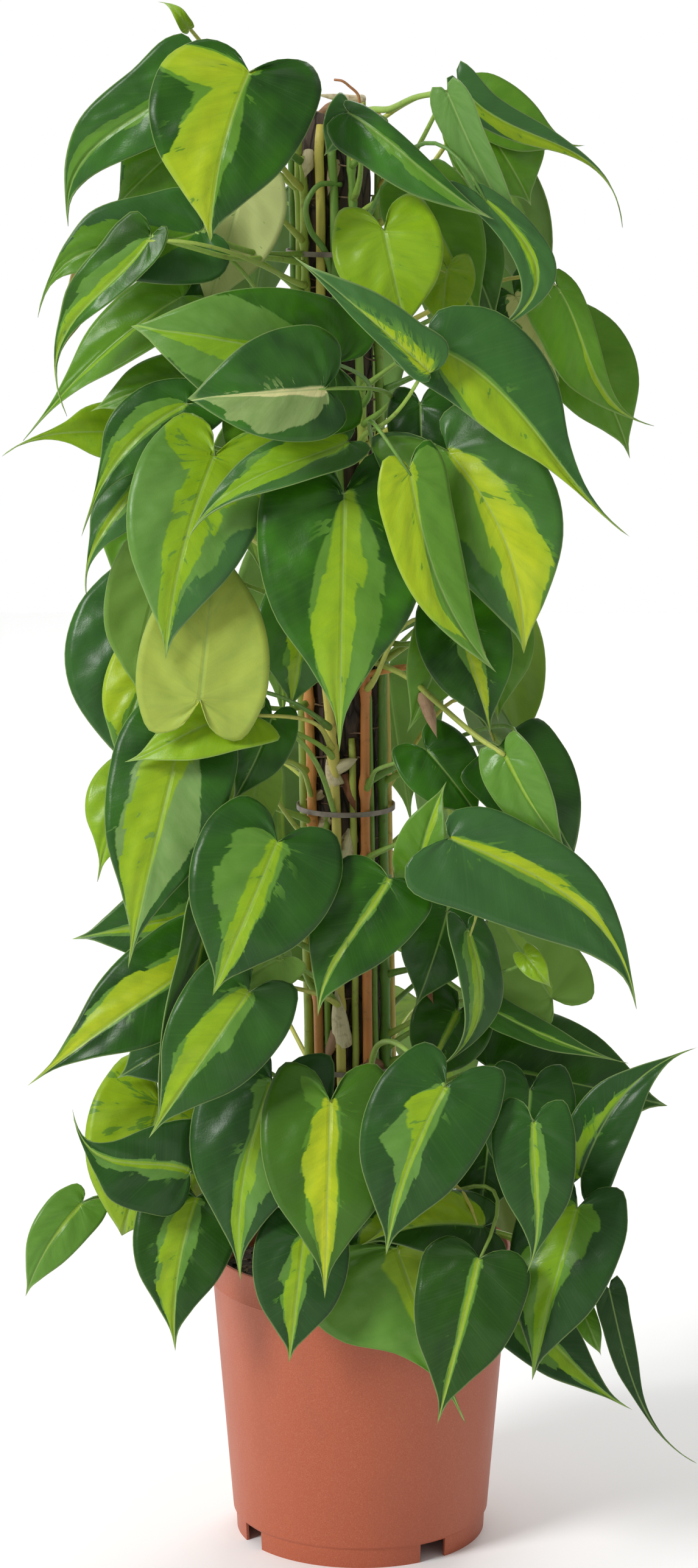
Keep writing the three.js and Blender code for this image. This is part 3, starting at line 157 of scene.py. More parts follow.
LOOKS = {
    "dark": look(NOWHERE, [(0, 0), (0, 0.05), (0, 0)], fleck=0.0),
    "thin": look([(0, 0), (-0.04, 0.04), (-0.06, 0.05), (-0.07, 0.08), (-0.5, 0.3)], yellow=0.5),
    "thin_grey": look(
        [(0, 0), (-0.04, 0.05), (-0.06, 0.1), (-0.12, 0.12), (-0.2, 0.2)],
        [(0, 0), (-0.05, 0.12), (-0.1, 0.3), (-0.2, 0.4), (-0.3, 0.3)],
        grey=0.7,
        yellow=0.25,
    ),
    "thin_low": look(
        [(0, 0), (0, 0), (0, 0.03), (-0.06, 0.12), (-0.2, 0.15), (-0.2, 0.2)],
        [(0, 0), (0, 0.05), (-0.05, 0.15), (-0.35, 0.2), (-0.7, 0.2), (-0.9, 0.2)],
        grey=0.0,
        yellow=0.1,
    ),
    "stripe": look(
        [(0, 0), (-0.05, 0.08), (-0.1, 0.2), (-0.3, 0.12), (-0.45, 0.1), (-0.6, 0.4)],
        [(0, 0), (-0.1, 0.1), (-0.2, 0.3), (-0.4, 0.25), (-0.5, 0.2), (-0.6, 0.4)],
    ),
    "low_stripe": look(
        [(0, 0), (0, 0), (-0.04, 0.04), (0, 0.2), (-0.3, 0.3), (-0.8, 0.6)],
        [(0, 0), (-0.1, 0.05), (-0.25, 0.1), (-0.1, 0.6), (-0.3, 0.7), (-0.8, 0.7)],
        grey=0.7,
        yellow=0.15,
    ),
    "offset_stripe": look([(0, 0.1), (0.15, 0.45), (0.2, 0.5), (0.1, 0.3), (0, 0.1), (0, 0.2)], yellow=0.1),
    "band": look([(0, 0), (0, 0), (-0.1, 0.15), (-0.32, 0.18), (-0.35, 0.15), (-0.5, 0.3)], yellow=0.2),
    "band_left": look(
        [(0, 0), (0, 0.02), (-0.2, 0.1), (-0.45, 0.12), (-0.6, 0.1), (-0.8, 0.2)],
        [(0, 0), (0, 0.05), (-0.6, 0.15), (-0.7, 0.2), (-0.7, 0.2), (-0.8, 0.2)],
        yellow=0.15,
    ),
    "band_right": look(
        [(0, 0), (0, 0.05), (-0.02, 0.16), (-0.08, 0.3), (-0.1, 0.42), (-0.1, 0.5)],
        [(0, 0), (0, 0.06), (-0.04, 0.2), (-0.22, 0.33), (-0.12, 0.45), (-0.1, 0.5)],
        yellow=0.8,
    ),
    "cream_band": look(
        [(0, 0), (-0.03, 0.12), (-0.04, 0.14), (-0.04, 0.1), (-0.06, 0.09), (-0.1, 0.1)],
        [(0, 0), (-0.04, 0.2), (-0.05, 0.45), (-0.06, 0.85), (-0.08, 0.9), (-0.1, 0.5)],
        grey=1.4,
        yellow=1.9,
    ),
    "cream_wide": look(
        [(0, 0), (-0.1, 0.1), (-0.3, 0.2), (-0.35, 0.25), (-0.3, 0.3), (-0.3, 0.3)],
        grey=0.8,
        yellow=1.7,
    ),
    "broad_band": look(
        [(0, 0), (-0.35, 0.15), (-0.75, 0.3), (-0.7, 0.55), (-0.4, 0.75), (-0.2, 0.6)],
        yellow=0.05,
    ),
    "tongue": look(
        [(0, 0), (0, 0.08), (0.02, 0.18), (-0.3, 0.28), (-0.75, 0.32), (-1, 0.5)],
        [(0, 0), (0, 0.09), (0, 0.22), (-0.36, 0.6), (-0.85, 0.9), (-1.2, 1)],
        grey=0.3,
        yellow=0.2,
    ),
    "yellow_tongue": look(
        [(0, 0), (-0.1, 0.08), (-0.14, 0.12), (-0.42, 0.16), (-0.5, 0.35), (-0.7, 0.6)],
        [(-0.1, 0.1), (-0.6, 0.1), (-0.2, 0.14), (-0.46, 0.2), (-0.55, 0.4), (-0.8, 0.7)],
        grey=0.2,
        yellow=1.0,
        tone=1.6,
    ),
    "bulge": look(
        [(0, 0), (-0.05, 0.08), (-0.1, 0.08), (-0.15, 0.14), (-0.35, 0.4), (-0.7, 0.8)],
        [(0, 0), (-0.1, 0.12), (-0.55, 0.2), (-0.65, 0.18), (-0.55, 0.45), (-0.9, 0.8)],
        grey=0.45,
        yellow=0.2,
    ),
    "fork": look(
        [
            (0, 0), (-0.02, 0.02), (-0.04, 0.04), (-0.06, 0.05), (-0.12, 0.05), (-0.5, 0.06),
            (-0.2, 0.06), (-0.12, 0.07), (-0.14, 0.1), (-0.3, 0.2), (-0.5, 0.4),
        ],
        [(0, 0), (-0.05, 0.05), (-0.2, 0.1), (-0.65, 0.16), (-0.25, 0.35), (-0.5, 0.4)],
        grey=0.7,
    ),
    "wedge_left": look(
        [(0, 0), (-0.05, 0.06), (-0.2, 0.05), (-0.48, 0.03), (-0.75, 0.04), (-1, 0.3)],
        [(0, 0), (-0.1, 0.1), (-0.32, 0.2), (-0.56, 0.28), (-0.8, 0.1), (-1, 0.3)],
    ),
    "yellow_wedge": look(
        [(0, 0), (0, 0), (-0.3, 0.05), (-0.62, 0.06), (-0.8, 0.1), (-1, 0.5)],
        yellow=0.75,
    ),
    "green_wedge": look(
        [(0, 0), (-0.1, 0.04), (-0.25, 0.06), (-0.42, 0.08), (-0.5, 0.1), (-0.9, 0.5)],
        [(0, 0), (-0.2, 0.3), (-0.4, 0.5), (-0.75, 0.3), (-0.8, 0.2), (-1, 0.5)],
        grey=0.3,
        yellow=0.0,
    ),
    "wedge_right": look(
        [(0, 0), (0, 0.05), (-0.02, 0.16), (-0.1, 0.42), (-0.35, 0.95), (-0.9, 1.3)],
        [(-0.6, 0), (-0.9, 0.06), (-0.9, 0.22), (-0.75, 0.5), (-0.5, 1), (-1, 1.3)],
        grey=0.25,
        yellow=0.75,
    ),
    "wide_left": look(
        [(0, 0), (-0.12, 0.15), (-0.45, 0.25), (-0.75, 0.12), (-0.85, 0.05), (-1, 0.3)],
        [(0, 0), (-0.15, 0.2), (-0.5, 0.5), (-0.8, 0.8), (-0.88, 0.75), (-1, 0.5)],
        grey=1.15,
    ),
    "crown_left": look(
        [
            (0, 0.02), (-0.12, 0.08), (-0.45, 0.12), (-1.25, 0.06), (-0.75, 0.02), (-0.42, 0.02),
            (-0.58, 0.02), (-0.85, 0.02), (-1.25, 0.02), (-1.3, 0.05), (-1.3, 0.1),
        ],
        [
            (-0.02, 0.08), (-0.15, 0.14), (-0.48, 0.2), (-1.3, 0.16), (-0.9, 0.05), (-0.46, 0.06),
            (-0.6, 0.16), (-0.88, 0.24), (-1.3, 0.22), (-1.3, 0.2), (-1.3, 0.25),
        ],
        grey=0.2,
        yellow=0.55,
        fleck=0.15,
    ),
    "half_left": look(
        [(-1.3, 0.3), (-1.3, 0.25), (-1.3, 0.15), (-1.2, 0), (-0.8, -0.4), (-0.2, -0.6)],
        [(-1.3, 0.5), (-1.3, 1), (-1.3, 1.3), (-1.3, 1.3), (-1.3, 1.3), (-1.3, 1.3)],
        grey=0.3,
        yellow=0.45,
    ),
    "edge_left": look(
        [(0, 0), (-0.1, 0), (-0.85, 0.02), (-1.3, 0.03), (-1.3, 0.05), (-1.3, 0.3)],
        yellow=0.3,
        fleck=0.15,
    ),
    "mottled": look(
        [(-1.3, 1.3), (-1.3, 1.3), (-0.35, 0.8), (-0.3, 0.45), (-0.6, 0.35), (-1.2, 0.4)],
        [(-1.3, 1.3), (-1.3, 1.3), (-1.3, 1.1), (-1.3, 0.75), (-1.3, 0.5), (-1.3, 0.4)],
        grey=0.75,
        yellow=0.15,
        fleck=0.3,
    ),
    "blotched": look(
        [(-0.2, 0.2), (-0.3, 0.35), (-0.35, 0.3), (-0.2, 0.1), (0, 0), (0, 0)],
        yellow=0.6,
        fleck=0.6,
    ),
    "tip_pale": look(
        [(0, 0), (0, 0), (0, 0.2), (-0.05, 0.4), (-0.1, 0.45), (-0.2, 0.4)],
        [(0, 0), (0, 0), (-0.05, 0.25), (-0.6, 0.85), (-1.3, 0.95), (-1.3, 1)],
        grey=0.6,
        yellow=0.0,
    ),
    "green_low": look(
        NOWHERE,
        [(0, 0), (0, 0.03), (-0.05, 0.12), (-0.3, 0.2), (-0.65, 0.2), (-0.9, 0.3)],
        grey=0.2,
        fleck=0.0,
    ),
    "green_tip": look(NOWHERE, [(0, 0), (0, 0), (0, 0), (-0.8, 0.8), (-0.9, 1.3), (-0.9, 1.3)], grey=0.0),
    "grey_patch": look(
        [(0, 0), (0, 0), (-0.2, 0.1), (-0.1, 0.22), (-0.1, 0.25), (-0.2, 0.3)],
        [(0, 0), (-0.3, 0.1), (-0.55, 0.3), (-0.2, 0.5), (-0.2, 0.5), (-0.3, 0.5)],
        grey=0.9,
    ),
    "green": look(NOWHERE, ALL_OVER, grey=0.0, fleck=0.2),
    "green_rib": look([(0, 0), (-0.05, 0.06), (-0.07, 0.07), (-0.06, 0.05), (0, 0)], ALL_OVER, grey=0.4),
    "green_low_lime": look(
        [(0, 0), (0, 0), (0, 0), (-0.1, 0), (-0.55, -0.05), (-0.6, 0)],
        ALL_OVER,
        grey=0.1,
    ),
    "green_patch": look(
        [(0, 0), (-0.1, 0.3), (-0.15, 0.6), (-0.1, 0.8), (-0.05, 0.6), (0, 0.3)],
        ALL_OVER,
        grey=0.4,
        fleck=0.0,
    ),
    "pale_green": look(NOWHERE, ALL_OVER, grey=1.0, fleck=0.15),
    "olive": look(
        [(0, 0), (0, 0), (0, 0.05), (0.1, 0.3), (0.05, 0.3), (0, 0.2)],
        ALL_OVER,
        grey=0.0,
        yellow=0.0,
    ),
    "lime": look(ALL_OVER, yellow=0.1, fleck=0.0),
    "lime_flecked": look(ALL_OVER, yellow=0.25, fleck=0.35),
    "pale_lime": look(ALL_OVER, yellow=1.15, fleck=0.0),
    "pale_cream": look(ALL_OVER, yellow=1.9, fleck=0.0),
    "dry": look(ALL_OVER, yellow=3.0, fleck=0.3),
}

LEAF_DEFAULTS = dict(
    fold=0.12, curl=0.12, arch=7, bend=0, hook=0, roll=0, lop=0, tail=0.16, lobe=1, plain=False
)


def leaf(look, **measures):
    """One leaf: its colouring and what differs from the usual measures"""
    return {**LEAF_DEFAULTS, "look": look, **measures}


def seen(look, base, tip, out, wide, **measures):
    """A leaf that hangs between two pixels, with what differs from the usual measures"""
    return leaf(look, base=base, tip=tip, out=out, wide=wide, **measures)


# Every leaf seen from the front, the foremost first: its look, the pixels of its notch and its
# tip, how far these two lie in front of the pot's axis in mm, and its full width in mm. roll is
# degrees about the midrib, fold is the rise of each half, curl turns its margin back, arch,
# bend and hook bow the midrib in mm, tail is the drip tip's share of the length, lop is the
# extra share of width on the right half and lobe is the share of the usual height of the lobes.
FRONT_LEAVES = [
    # Crown, left
    seen(
        "crown_left", (409, 119), (345, 398), (132, 150), 93,
        roll=-4, arch=12, bend=-4, lop=-0.05, tail=0.12, lobe=0.55,
    ),
    seen(
        "green_low", (325, 106), (112, 372), (72, 60), 50,
        roll=-10, fold=0.2, bend=4, hook=-20, tail=0.14, lobe=0.6,
    ),
    seen(
        "band_left", (248, 388), (110, 684), (108, 100), 34,
        roll=-20, fold=0.3, hook=-20, tail=0.34, lop=-0.3,
    ),
    seen(
        "green_tip", (331, 379), (62, 522), (88, 92), 60,
        roll=-10, fold=0.2, hook=-20, tail=0.24, lobe=0.6,
    ),
    seen("cream_band", (532, 639), (308, 655), (152, 168), 66, arch=10, tail=0.06, lop=-0.12, lobe=0.7),
    seen("tip_pale", (548, 597), (215, 536), (122, 132), 82, roll=-8, arch=12, lop=0.1, tail=0.08),
    seen("olive", (299, 488), (38, 724), (72, 62), 44, roll=-30, fold=0.3, bend=-6, hook=3, tail=0.3),
    seen("pale_cream", (397, 310), (334, 520), (92, 96), 58, roll=172, arch=6),
    # Crown, right
    seen("blotched", (706, 612), (480, 420), (160, 142), 26, roll=-10, fold=0.25, lop=-0.35, lobe=0.4),
    seen(
        "edge_left", (722, 574), (1034, 882), (140, 150), 60,
        roll=10, fold=0.2, bend=13, hook=-12, lop=0.2, tail=0.34,
    ),
    seen(
        "green_low", (574, 186), (814, 362), (112, 132), 28,
        roll=12, fold=-0.25, arch=10, hook=-4, lop=-0.35, tail=0.12,
    ),
    seen("band", (790, 322), (773, 562), (135, 142), 28, roll=10, bend=27, hook=9),
    seen("pale_green", (735, 152), (905, 490), (122, 112), 24, roll=-20, fold=0.25, tail=0.2),
    seen("lime", (630, 378), (666, 540), (118, 122), 64, arch=6, tail=0.08),
    seen(
        "edge_left", (752, 132), (1022, 374), (70, 58), 22,
        roll=20, fold=0.3, bend=-15, hook=27, tail=0.34,
    ),
    seen(
        "wedge_right", (735, 740), (860, 1074), (122, 132), 84,
        roll=-6, fold=0.15, arch=12, bend=14, tail=0.1,
    ),
    seen("half_left", (672, 770), (815, 1105), (146, 152), 42, roll=10, bend=-9, hook=-3, tail=0.1),
    seen("green_low_lime", (916, 472), (1074, 700), (78, 70), 34, lop=-0.4, hook=-12, tail=0.22),
    # Middle
    seen("broad_band", (569, 727), (309, 884), (134, 146), 38, roll=-34, fold=0.3, hook=-8),
    seen("tongue", (565, 811), (557, 1236), (132, 142), 100, arch=14, fold=0.08, tail=0.24),
    seen("mottled", (352, 748), (272, 1083), (114, 140), 80, arch=12, bend=-5, tail=0.14),
    seen("band_left", (306, 664), (134, 881), (98, 100), 46, roll=-8, bend=-12, hook=2, tail=0.34),
    seen("pale_lime", (328, 1150), (352, 890), (130, 106), 78, roll=176, arch=-8, tail=0.06),
    seen("lime", (410, 1174), (205, 1252), (114, 122), 44, roll=-22, bend=-5, hook=6),
    seen("wide_left", (296, 1216), (210, 1592), (102, 122), 74, roll=-5, arch=10, tail=0.22),
    seen("dark", (446, 1178), (379, 1322), (72, 82), 38, roll=16),
    seen(
        "band_right", (738, 1377), (1045, 1658), (126, 132), 66,
        roll=6, fold=0.14, bend=14, hook=9, lop=-0.2, tail=0.16, lobe=0.5,
    ),
    seen("bulge", (455, 1384), (349, 1636), (122, 136), 88, arch=12, lobe=0.75),
    seen("thin", (639, 1443), (522, 1670), (132, 146), 60, hook=-6, lobe=0.3),
    seen("wedge_left", (408, 1630), (244, 1870), (128, 140), 66, arch=10, tail=0.2),
    seen("thin", (340, 1490), (262, 1852), (104, 118), 44, roll=42, fold=0.35, hook=-10),
    seen("yellow_wedge", (345, 1568), (45, 1784), (84, 100), 62, roll=-8, arch=10, tail=0.22),
    seen("grey_patch", (345, 1502), (118, 1543), (74, 86), 54, roll=-5),
    seen("green_rib", (830, 1241), (934, 1404), (112, 112), 38, roll=-20, fold=0.3),
    seen("green_low_lime", (686, 1436), (733, 1284), (104, 100), 34, roll=20, fold=0.3),
    seen("band_left", (768, 1528), (716, 1757), (106, 112), 36, roll=40, fold=0.2, bend=10, hook=8),
    seen("thin_low", (800, 1655), (1032, 1747), (78, 66), 20, roll=20, bend=-6, tail=0.25),
    seen("olive", (906, 1640), (800, 1470), (76, 84), 62, roll=170, lobe=0.8),
    # Foot of the plant
    seen("fork", (731, 1785), (634, 2062), (140, 148), 74, arch=10, bend=-5),
    seen("yellow_tongue", (542, 1810), (533, 2133), (128, 144), 82, arch=12, tail=0.22),
    seen("low_stripe", (446, 1777), (395, 2104), (98, 118), 80, roll=-10, arch=10, bend=-6, tail=0.2),
    seen("thin_grey", (876, 1844), (865, 2091), (140, 142), 50, hook=5, tail=0.22),
    seen("thin", (786, 2068), (718, 2340), (134, 140), 66, arch=8, tail=0.2, lobe=0.5),
    seen("green_wedge", (948, 1985), (874, 2267), (112, 124), 68, roll=-14, arch=8),
    seen("thin_grey", (312, 1925), (119, 1822), (104, 108), 64, hook=17, tail=0.28, lobe=0.35),
    seen("edge_left", (793, 2014), (594, 2045), (116, 128), 44, roll=-16, bend=-4),
    seen("stripe", (498, 2034), (475, 2238), (122, 126), 58, arch=6),
    seen(
        "green_patch", (652, 2050), (765, 2340), (96, 112), 92,
        roll=-10, lop=-0.45, tail=0.42, lobe=0.45,
    ),
    seen("wedge_left", (322, 1968), (288, 2220), (88, 104), 64, arch=8, bend=-5, tail=0.2, lobe=0.5),
    seen("offset_stripe", (954, 1932), (1144, 1721), (84, 74), 42, bend=11, hook=3, fold=0.2, tail=0.22),
    seen("green_rib", (134, 1978), (42, 2130), (66, 74), 34, bend=-4, tail=0.14),
    seen("lime_flecked", (262, 1812), (200, 2030), (68, 78), 80, arch=12, tail=0.06),
    seen("band_left", (815, 2132), (1038, 2316), (92, 98), 44, roll=10, bend=3, hook=-6, tail=0.22),
    seen("dark", (1000, 2118), (1144, 2404), (52, 34), 20, roll=10, bend=-10, hook=-6, tail=0.42),
    seen("dark", (800, 1752), (1096, 1817), (22, 6), 84, roll=10, tail=0.12),
    seen("dark", (870, 1790), (852, 1985), (78, 84), 58, roll=5),
]
SECOND_ROW_LEAVES = [
    seen("dry", (140, 452), (92, 620), (28, 24), 18, roll=20, hook=-5, tail=0.3),
    seen("lime", (309, 46), (260, 3), (52, 56), 9, roll=20, bend=-3, hook=-3),
    seen("green_tip", (322, 218), (186, 345), (48, 44), 62, roll=-12),
    seen("dark", (354, 400), (262, 500), (58, 52), 52, roll=-8),
    seen("lime", (226, 706), (3, 750), (44, 58), 38, roll=-10, hook=-6, tail=0.42),
    seen("green", (306, 622), (149, 676), (82, 84), 36, roll=-18),
    seen("green", (252, 820), (190, 975), (48, 52), 52, roll=-12),
    seen("stripe", (228, 787), (142, 980), (74, 78), 32, roll=-14, hook=-6, tail=0.36),
    seen("dark", (250, 990), (218, 1268), (42, 54), 86, roll=-10, arch=8, bend=-8, tail=0.06),
    seen("green", (262, 932), (238, 1160), (70, 78), 58, roll=188, hook=5),
    seen("half_left", (252, 1082), (190, 1262), (62, 70), 48, roll=-12),
    seen("stripe", (500, 1000), (476, 1168), (62, 66), 56, roll=6),
    seen("green", (420, 668), (392, 800), (70, 72), 38, roll=10),
    seen("lime", (424, 1270), (412, 1410), (80, 86), 32, roll=190),
    seen("lime", (214, 1288), (160, 1449), (72, 78), 46, roll=-16, tail=0.3),
    seen("olive", (462, 1572), (372, 1630), (66, 70), 36, roll=188),
    seen("dark", (322, 1700), (192, 1772), (58, 62), 50, roll=-8),
    seen("green", (744, 1012), (668, 1204), (62, 62), 42, roll=14),
    seen("band_right", (752, 1016), (806, 1206), (86, 92), 56, roll=6),
    seen("green_low_lime", (793, 1010), (818, 1185), (46, 50), 58, roll=14),
    seen("dark", (818, 1226), (940, 1408), (76, 74), 62, roll=16, bend=2, tail=0.04, lobe=0.15),
    seen("dark", (700, 1232), (790, 1350), (72, 76), 46, roll=10),
    seen("lime", (862, 1568), (906, 1624), (102, 106), 16),
    seen("dark", (690, 664), (702, 806), (108, 112), 40, roll=-8),
    seen("lime", (734, 440), (724, 548), (96, 100), 34),
    seen("green_low_lime", (690, 318), (792, 536), (88, 92), 54, roll=8),
    seen("dark", (742, 368), (816, 535), (66, 70), 46, roll=14),
    seen("cream_wide", (845, 486), (918, 630), (86, 84), 50, roll=14),
    seen("green", (936, 556), (1034, 753), (46, 42), 56, roll=10, bend=3, tail=0.18),
    seen("green_low_lime", (778, 166), (960, 239), (22, 14), 38, roll=12, hook=-6, tail=0.22),
    seen("green", (800, 214), (872, 338), (18, 14), 58, roll=12),
    seen("dark", (734, 1498), (682, 1655), (60, 64), 50, roll=8),
    seen("thin", (752, 1662), (690, 1785), (76, 82), 50),
    seen("stripe", (760, 2020), (734, 2098), (100, 102), 44),
    seen("stripe", (652, 1984), (574, 2088), (96, 102), 54),
    seen("dark", (802, 1868), (788, 2012), (88, 92), 46),
    seen("green", (954, 2148), (987, 2227), (56, 56), 15),
    seen("dark", (572, 182), (532, 256), (92, 90), 24, roll=10),
]

# Leaves of the back, placed by the solids' own rule with a seeded draw
BACK_LEAVES = 24
BACK_SEED = 4217
BACK_LOW = 215
BACK_HIGH = 880
BACK_ARC = (112, 248)
BACK_RADIUS = 88
BACK_DEPTH = 44
BACK_SPREAD = 10
BACK_LENGTH = (96, 36)
BACK_SWING = 50
BACK_LEAN = (14, 20)
BACK_FACE_UP = 0.35
BACK_WIDTH = (0.56, 0.1)
BACK_ROLL = 36
BACK_FOLD = (0.08, 0.2)
BACK_ARCH = (6, 8)
BACK_BEND = 14
BACK_TAIL = (0.16, 0.1)
GOLDEN_SHARE = 0.618034
BACK_LOOKS = [
    "stripe", "dark", "wedge_left", "thin", "band_right", "fork", "low_stripe", "tongue", "green",
    "mottled", "lime",
]

UP = np.array([0.0, 0.0, 1.0])


def unit(vector):
    return vector / np.linalg.norm(vector, axis=-1, keepdims=True)


FORWARD = unit(LOOKED_AT - EYE)
RIGHTWARD = unit(np.cross(FORWARD, UP))
UPWARD = np.cross(RIGHTWARD, FORWARD)


def point_at(pixel, out):
    """The point that a pixel shows, out mm in front of the pot's axis"""
    across = (pixel[0] - CENTRE_PX[0]) / FOCAL_PX
    above = (CENTRE_PX[1] - pixel[1]) / FOCAL_PX
    ray = FORWARD + RIGHTWARD * across + UPWARD * above
    return EYE + ray * (-out - EYE[1]) / ray[1]


def seeded_draw(seed):
    """A repeatable draw between 0 and 1"""
    state = seed
    while True:
        state = state * 48271 % 2147483647
        yield state / 2147483647


def back_leaves():
    """Back leaves hang outwards round the back, spread by height and by the golden share"""
    draws = seeded_draw(BACK_SEED)

    def between(least, extra):
        return least + extra * next(draws)

    def either(width):
        return (next(draws) - 0.5) * width

    leaves = []
    for i in range(BACK_LEAVES):
        z = BACK_HIGH - (BACK_HIGH - BACK_LOW) * (i + 0.5) / BACK_LEAVES
        share = i * GOLDEN_SHARE % 1
        angle = math.radians(BACK_ARC[0] + (BACK_ARC[1] - BACK_ARC[0]) * share)
        away = np.array([math.sin(angle), -math.cos(angle), 0])
        tangent = np.array([away[1], -away[0], 0])
        radius = between(BACK_RADIUS + BACK_DEPTH * away[1] ** 2, BACK_SPREAD)
        length = between(*BACK_LENGTH)
        swing = either(BACK_SWING)
        start = away * radius + np.array([POLE_LEAN * z, 0, z])
        end = start + away * between(*BACK_LEAN) + tangent * swing - UP * length
        leaves.append(
            leaf(
                BACK_LOOKS[i % len(BACK_LOOKS)],
                start=start,
                end=end,
                away=away,
                face=unit(away + UP * BACK_FACE_UP),
                wide=length * between(*BACK_WIDTH),
                roll=either(BACK_ROLL),
                fold=between(*BACK_FOLD),
                arch=between(*BACK_ARCH),
                bend=either(BACK_BEND),
                tail=between(*BACK_TAIL),
            )
        )
    return leaves


def pole_centre(z):
    return np.array([POLE_FOOT_X + POLE_LEAN * z, 0, z])


def beside_pole(z, angle, reach):
    return pole_centre(z) + reach * np.array([math.sin(angle), -math.cos(angle), 0])


def stem_centre(stem, z):
    heights, degrees = zip(*stem["turn"])
    return beside_pole(z, math.radians(np.interp(z, heights, degrees)), STEM_REACH)


def stem_radius(stem, z):
    share = (z - STEM_BOTTOM) / (stem["top"] - STEM_BOTTOM)
    return STEM_RADIUS * (1 - STEM_TAPER * share**3)


def frame_of(leaf, shift):
    """Where a leaf's base and tip are, and which ways its side and face look"""
    if "base" in leaf:
        base = point_at(leaf["base"], leaf["out"][0] + shift)
        tip = point_at(leaf["tip"], leaf["out"][1] + shift)
        face = unit(EYE - base)
    else:
        base = leaf["start"] + leaf["away"] * shift
        tip = leaf["end"] + leaf["away"] * shift
        face = leaf["face"]
    along = tip - base
    ahead = unit(along)
    normal = unit(face - ahead * (face @ ahead))
    return {"base": base, "along": along, "normal": normal, "side": np.cross(normal, ahead)}


def blade_point(leaf, placed, x, y, raised):
    """The points of a blade at x mm across and y of its length, raised mm off its middle face"""
    x, y, raised = np.broadcast_arrays(np.asarray(x, float), y, raised)
    angle = math.radians(leaf["roll"])
    side = placed["side"] * math.cos(angle) - placed["normal"] * math.sin(angle)
    normal = placed["normal"] * math.cos(angle) + placed["side"] * math.sin(angle)
    bow = 4 * y * (1 - y)
    late = 6.75 * y * y * (1 - y)
    flat = x * (1 + leaf["lop"] * np.sign(x)) / math.hypot(1, leaf["fold"])
    lift = leaf["fold"] * abs(flat) - leaf["curl"] * flat * flat / (leaf["wide"] / 2)
    up = (leaf["arch"] * bow + lift + raised)[..., None]
    across = (flat + leaf["bend"] * bow + leaf["hook"] * late)[..., None]
    return placed["base"] + placed["along"] * y[..., None] + normal * up + side * across


# The solids' corner points tell at what depth each leaf was placed and which way its petiole runs
CORNER_CELL = 0.25
CORNER_SLACK = 0.05
TRACE_STOPS = (1 / 3, 2 / 3)


def cell_keys(points):
    cells = np.floor(points / CORNER_CELL).astype(np.int64) + 2**16
    return (cells[..., 0] << 40) + (cells[..., 1] << 20) + cells[..., 2]


def corner_keys(points):
    slack = (-CORNER_SLACK, 0, CORNER_SLACK)
    return np.unique([cell_keys(points + np.array(off)) for off in itertools.product(slack, repeat=3)])


def corners_of(name):
    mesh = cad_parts[name].data
    points = np.empty(len(mesh.vertices) * 3)
    mesh.vertices.foreach_get("co", points)
    return points.reshape(-1, 3) / MM


CORNERS = {name: corner_keys(corners_of(name)) for name in STEMS}


def placed_leaf(leaf):
    """The leaf's frame at the depth where its tip meets the solids, and the stem's name"""
    shifts = [0]
    shifts += [-SHIFT_STEP * i for i in range(1, SHIFTS_BACK + 1)]
    shifts += [SHIFT_STEP * i for i in range(1, SHIFTS_FORWARD + 1)]
    for shift in shifts:
        placed = frame_of(leaf, shift)
        tip = cell_keys(blade_point(leaf, placed, 0, 1, np.array([-0.5, 0.5]) * BLADE_THICK))
        for name, keys in CORNERS.items():
            if np.isin(tip, keys).all():
                return placed, name
    raise RuntimeError("a leaf's tip isn't found on the solids: " + str(leaf))


def bezier(line, share):
    a, b, c, d = line
    rest = 1 - share
    return rest**3 * a + 3 * rest**2 * share * b + 3 * rest * share**2 * c + share**3 * d


def petiole_line(leaf, placed, name):
    """The four control points of a petiole, from its stem to just inside its blade"""
    stem = STEMS[name]
    first_stop = PLAIN_MIDRIB_FIRST if leaf["plain"] else MIDRIB_FIRST
    notch, stop = blade_point(leaf, placed, 0, np.array([0, first_stop]), JOIN_SINK)
    end = notch + unit(stop - notch) * JOIN_ALONG
    for drop in START_DROPS:
        z = min(max(placed["base"][2] + drop, LOWEST_START), stem["top"] - START_BELOW_TOP)
        start = stem_centre(stem, z)
        radial = unit(start - pole_centre(z))
        reach = BOW_SHARE * np.linalg.norm(start - end)
        aside = np.cross(radial, UP)
        firsts = [start + radial * reach + UP * lift + aside * off for off in ASIDES for lift in LIFTS]
        seconds = []
        for rise, slant, swerve in itertools.product(RISES, SLANTS, SWERVES):
            behind = unit(placed["normal"] + unit(placed["along"]) * slant)
            seconds.append(end - behind * reach + aside * swerve + UP * rise)
        first = np.array(firsts)[:, None]
        second = np.array(seconds)[None]
        found = np.ones((len(firsts), len(seconds)), bool)
        for share in TRACE_STOPS:
            found &= np.isin(cell_keys(ring_corner((start, first, second, end), share)), CORNERS[name])
        if found.any():
            i, k = np.argwhere(found)[0]
            return np.array([start, firsts[i], seconds[k], end])
    raise RuntimeError("a petiole isn't found on the solids: " + str(leaf))


def ring_corner(line, share):
    """The first corner of the solid petiole's ring at a share of its line"""
    a, b, c, d = line
    rest = 1 - share
    heading = unit(rest**2 * (b - a) + 2 * rest * share * (c - b) + share**2 * (d - c))
    aside = unit(np.array([1, 0, 0]) - heading * heading[..., :1])
    across = np.cross(heading, aside)
    radius = PETIOLE_RADIUS * (PETIOLE_BASE_SWELL - PETIOLE_TAPER * share)
    turned = aside * math.cos(PETIOLE_TURN) + across * math.sin(PETIOLE_TURN)
    return bezier(line, share) + turned * radius


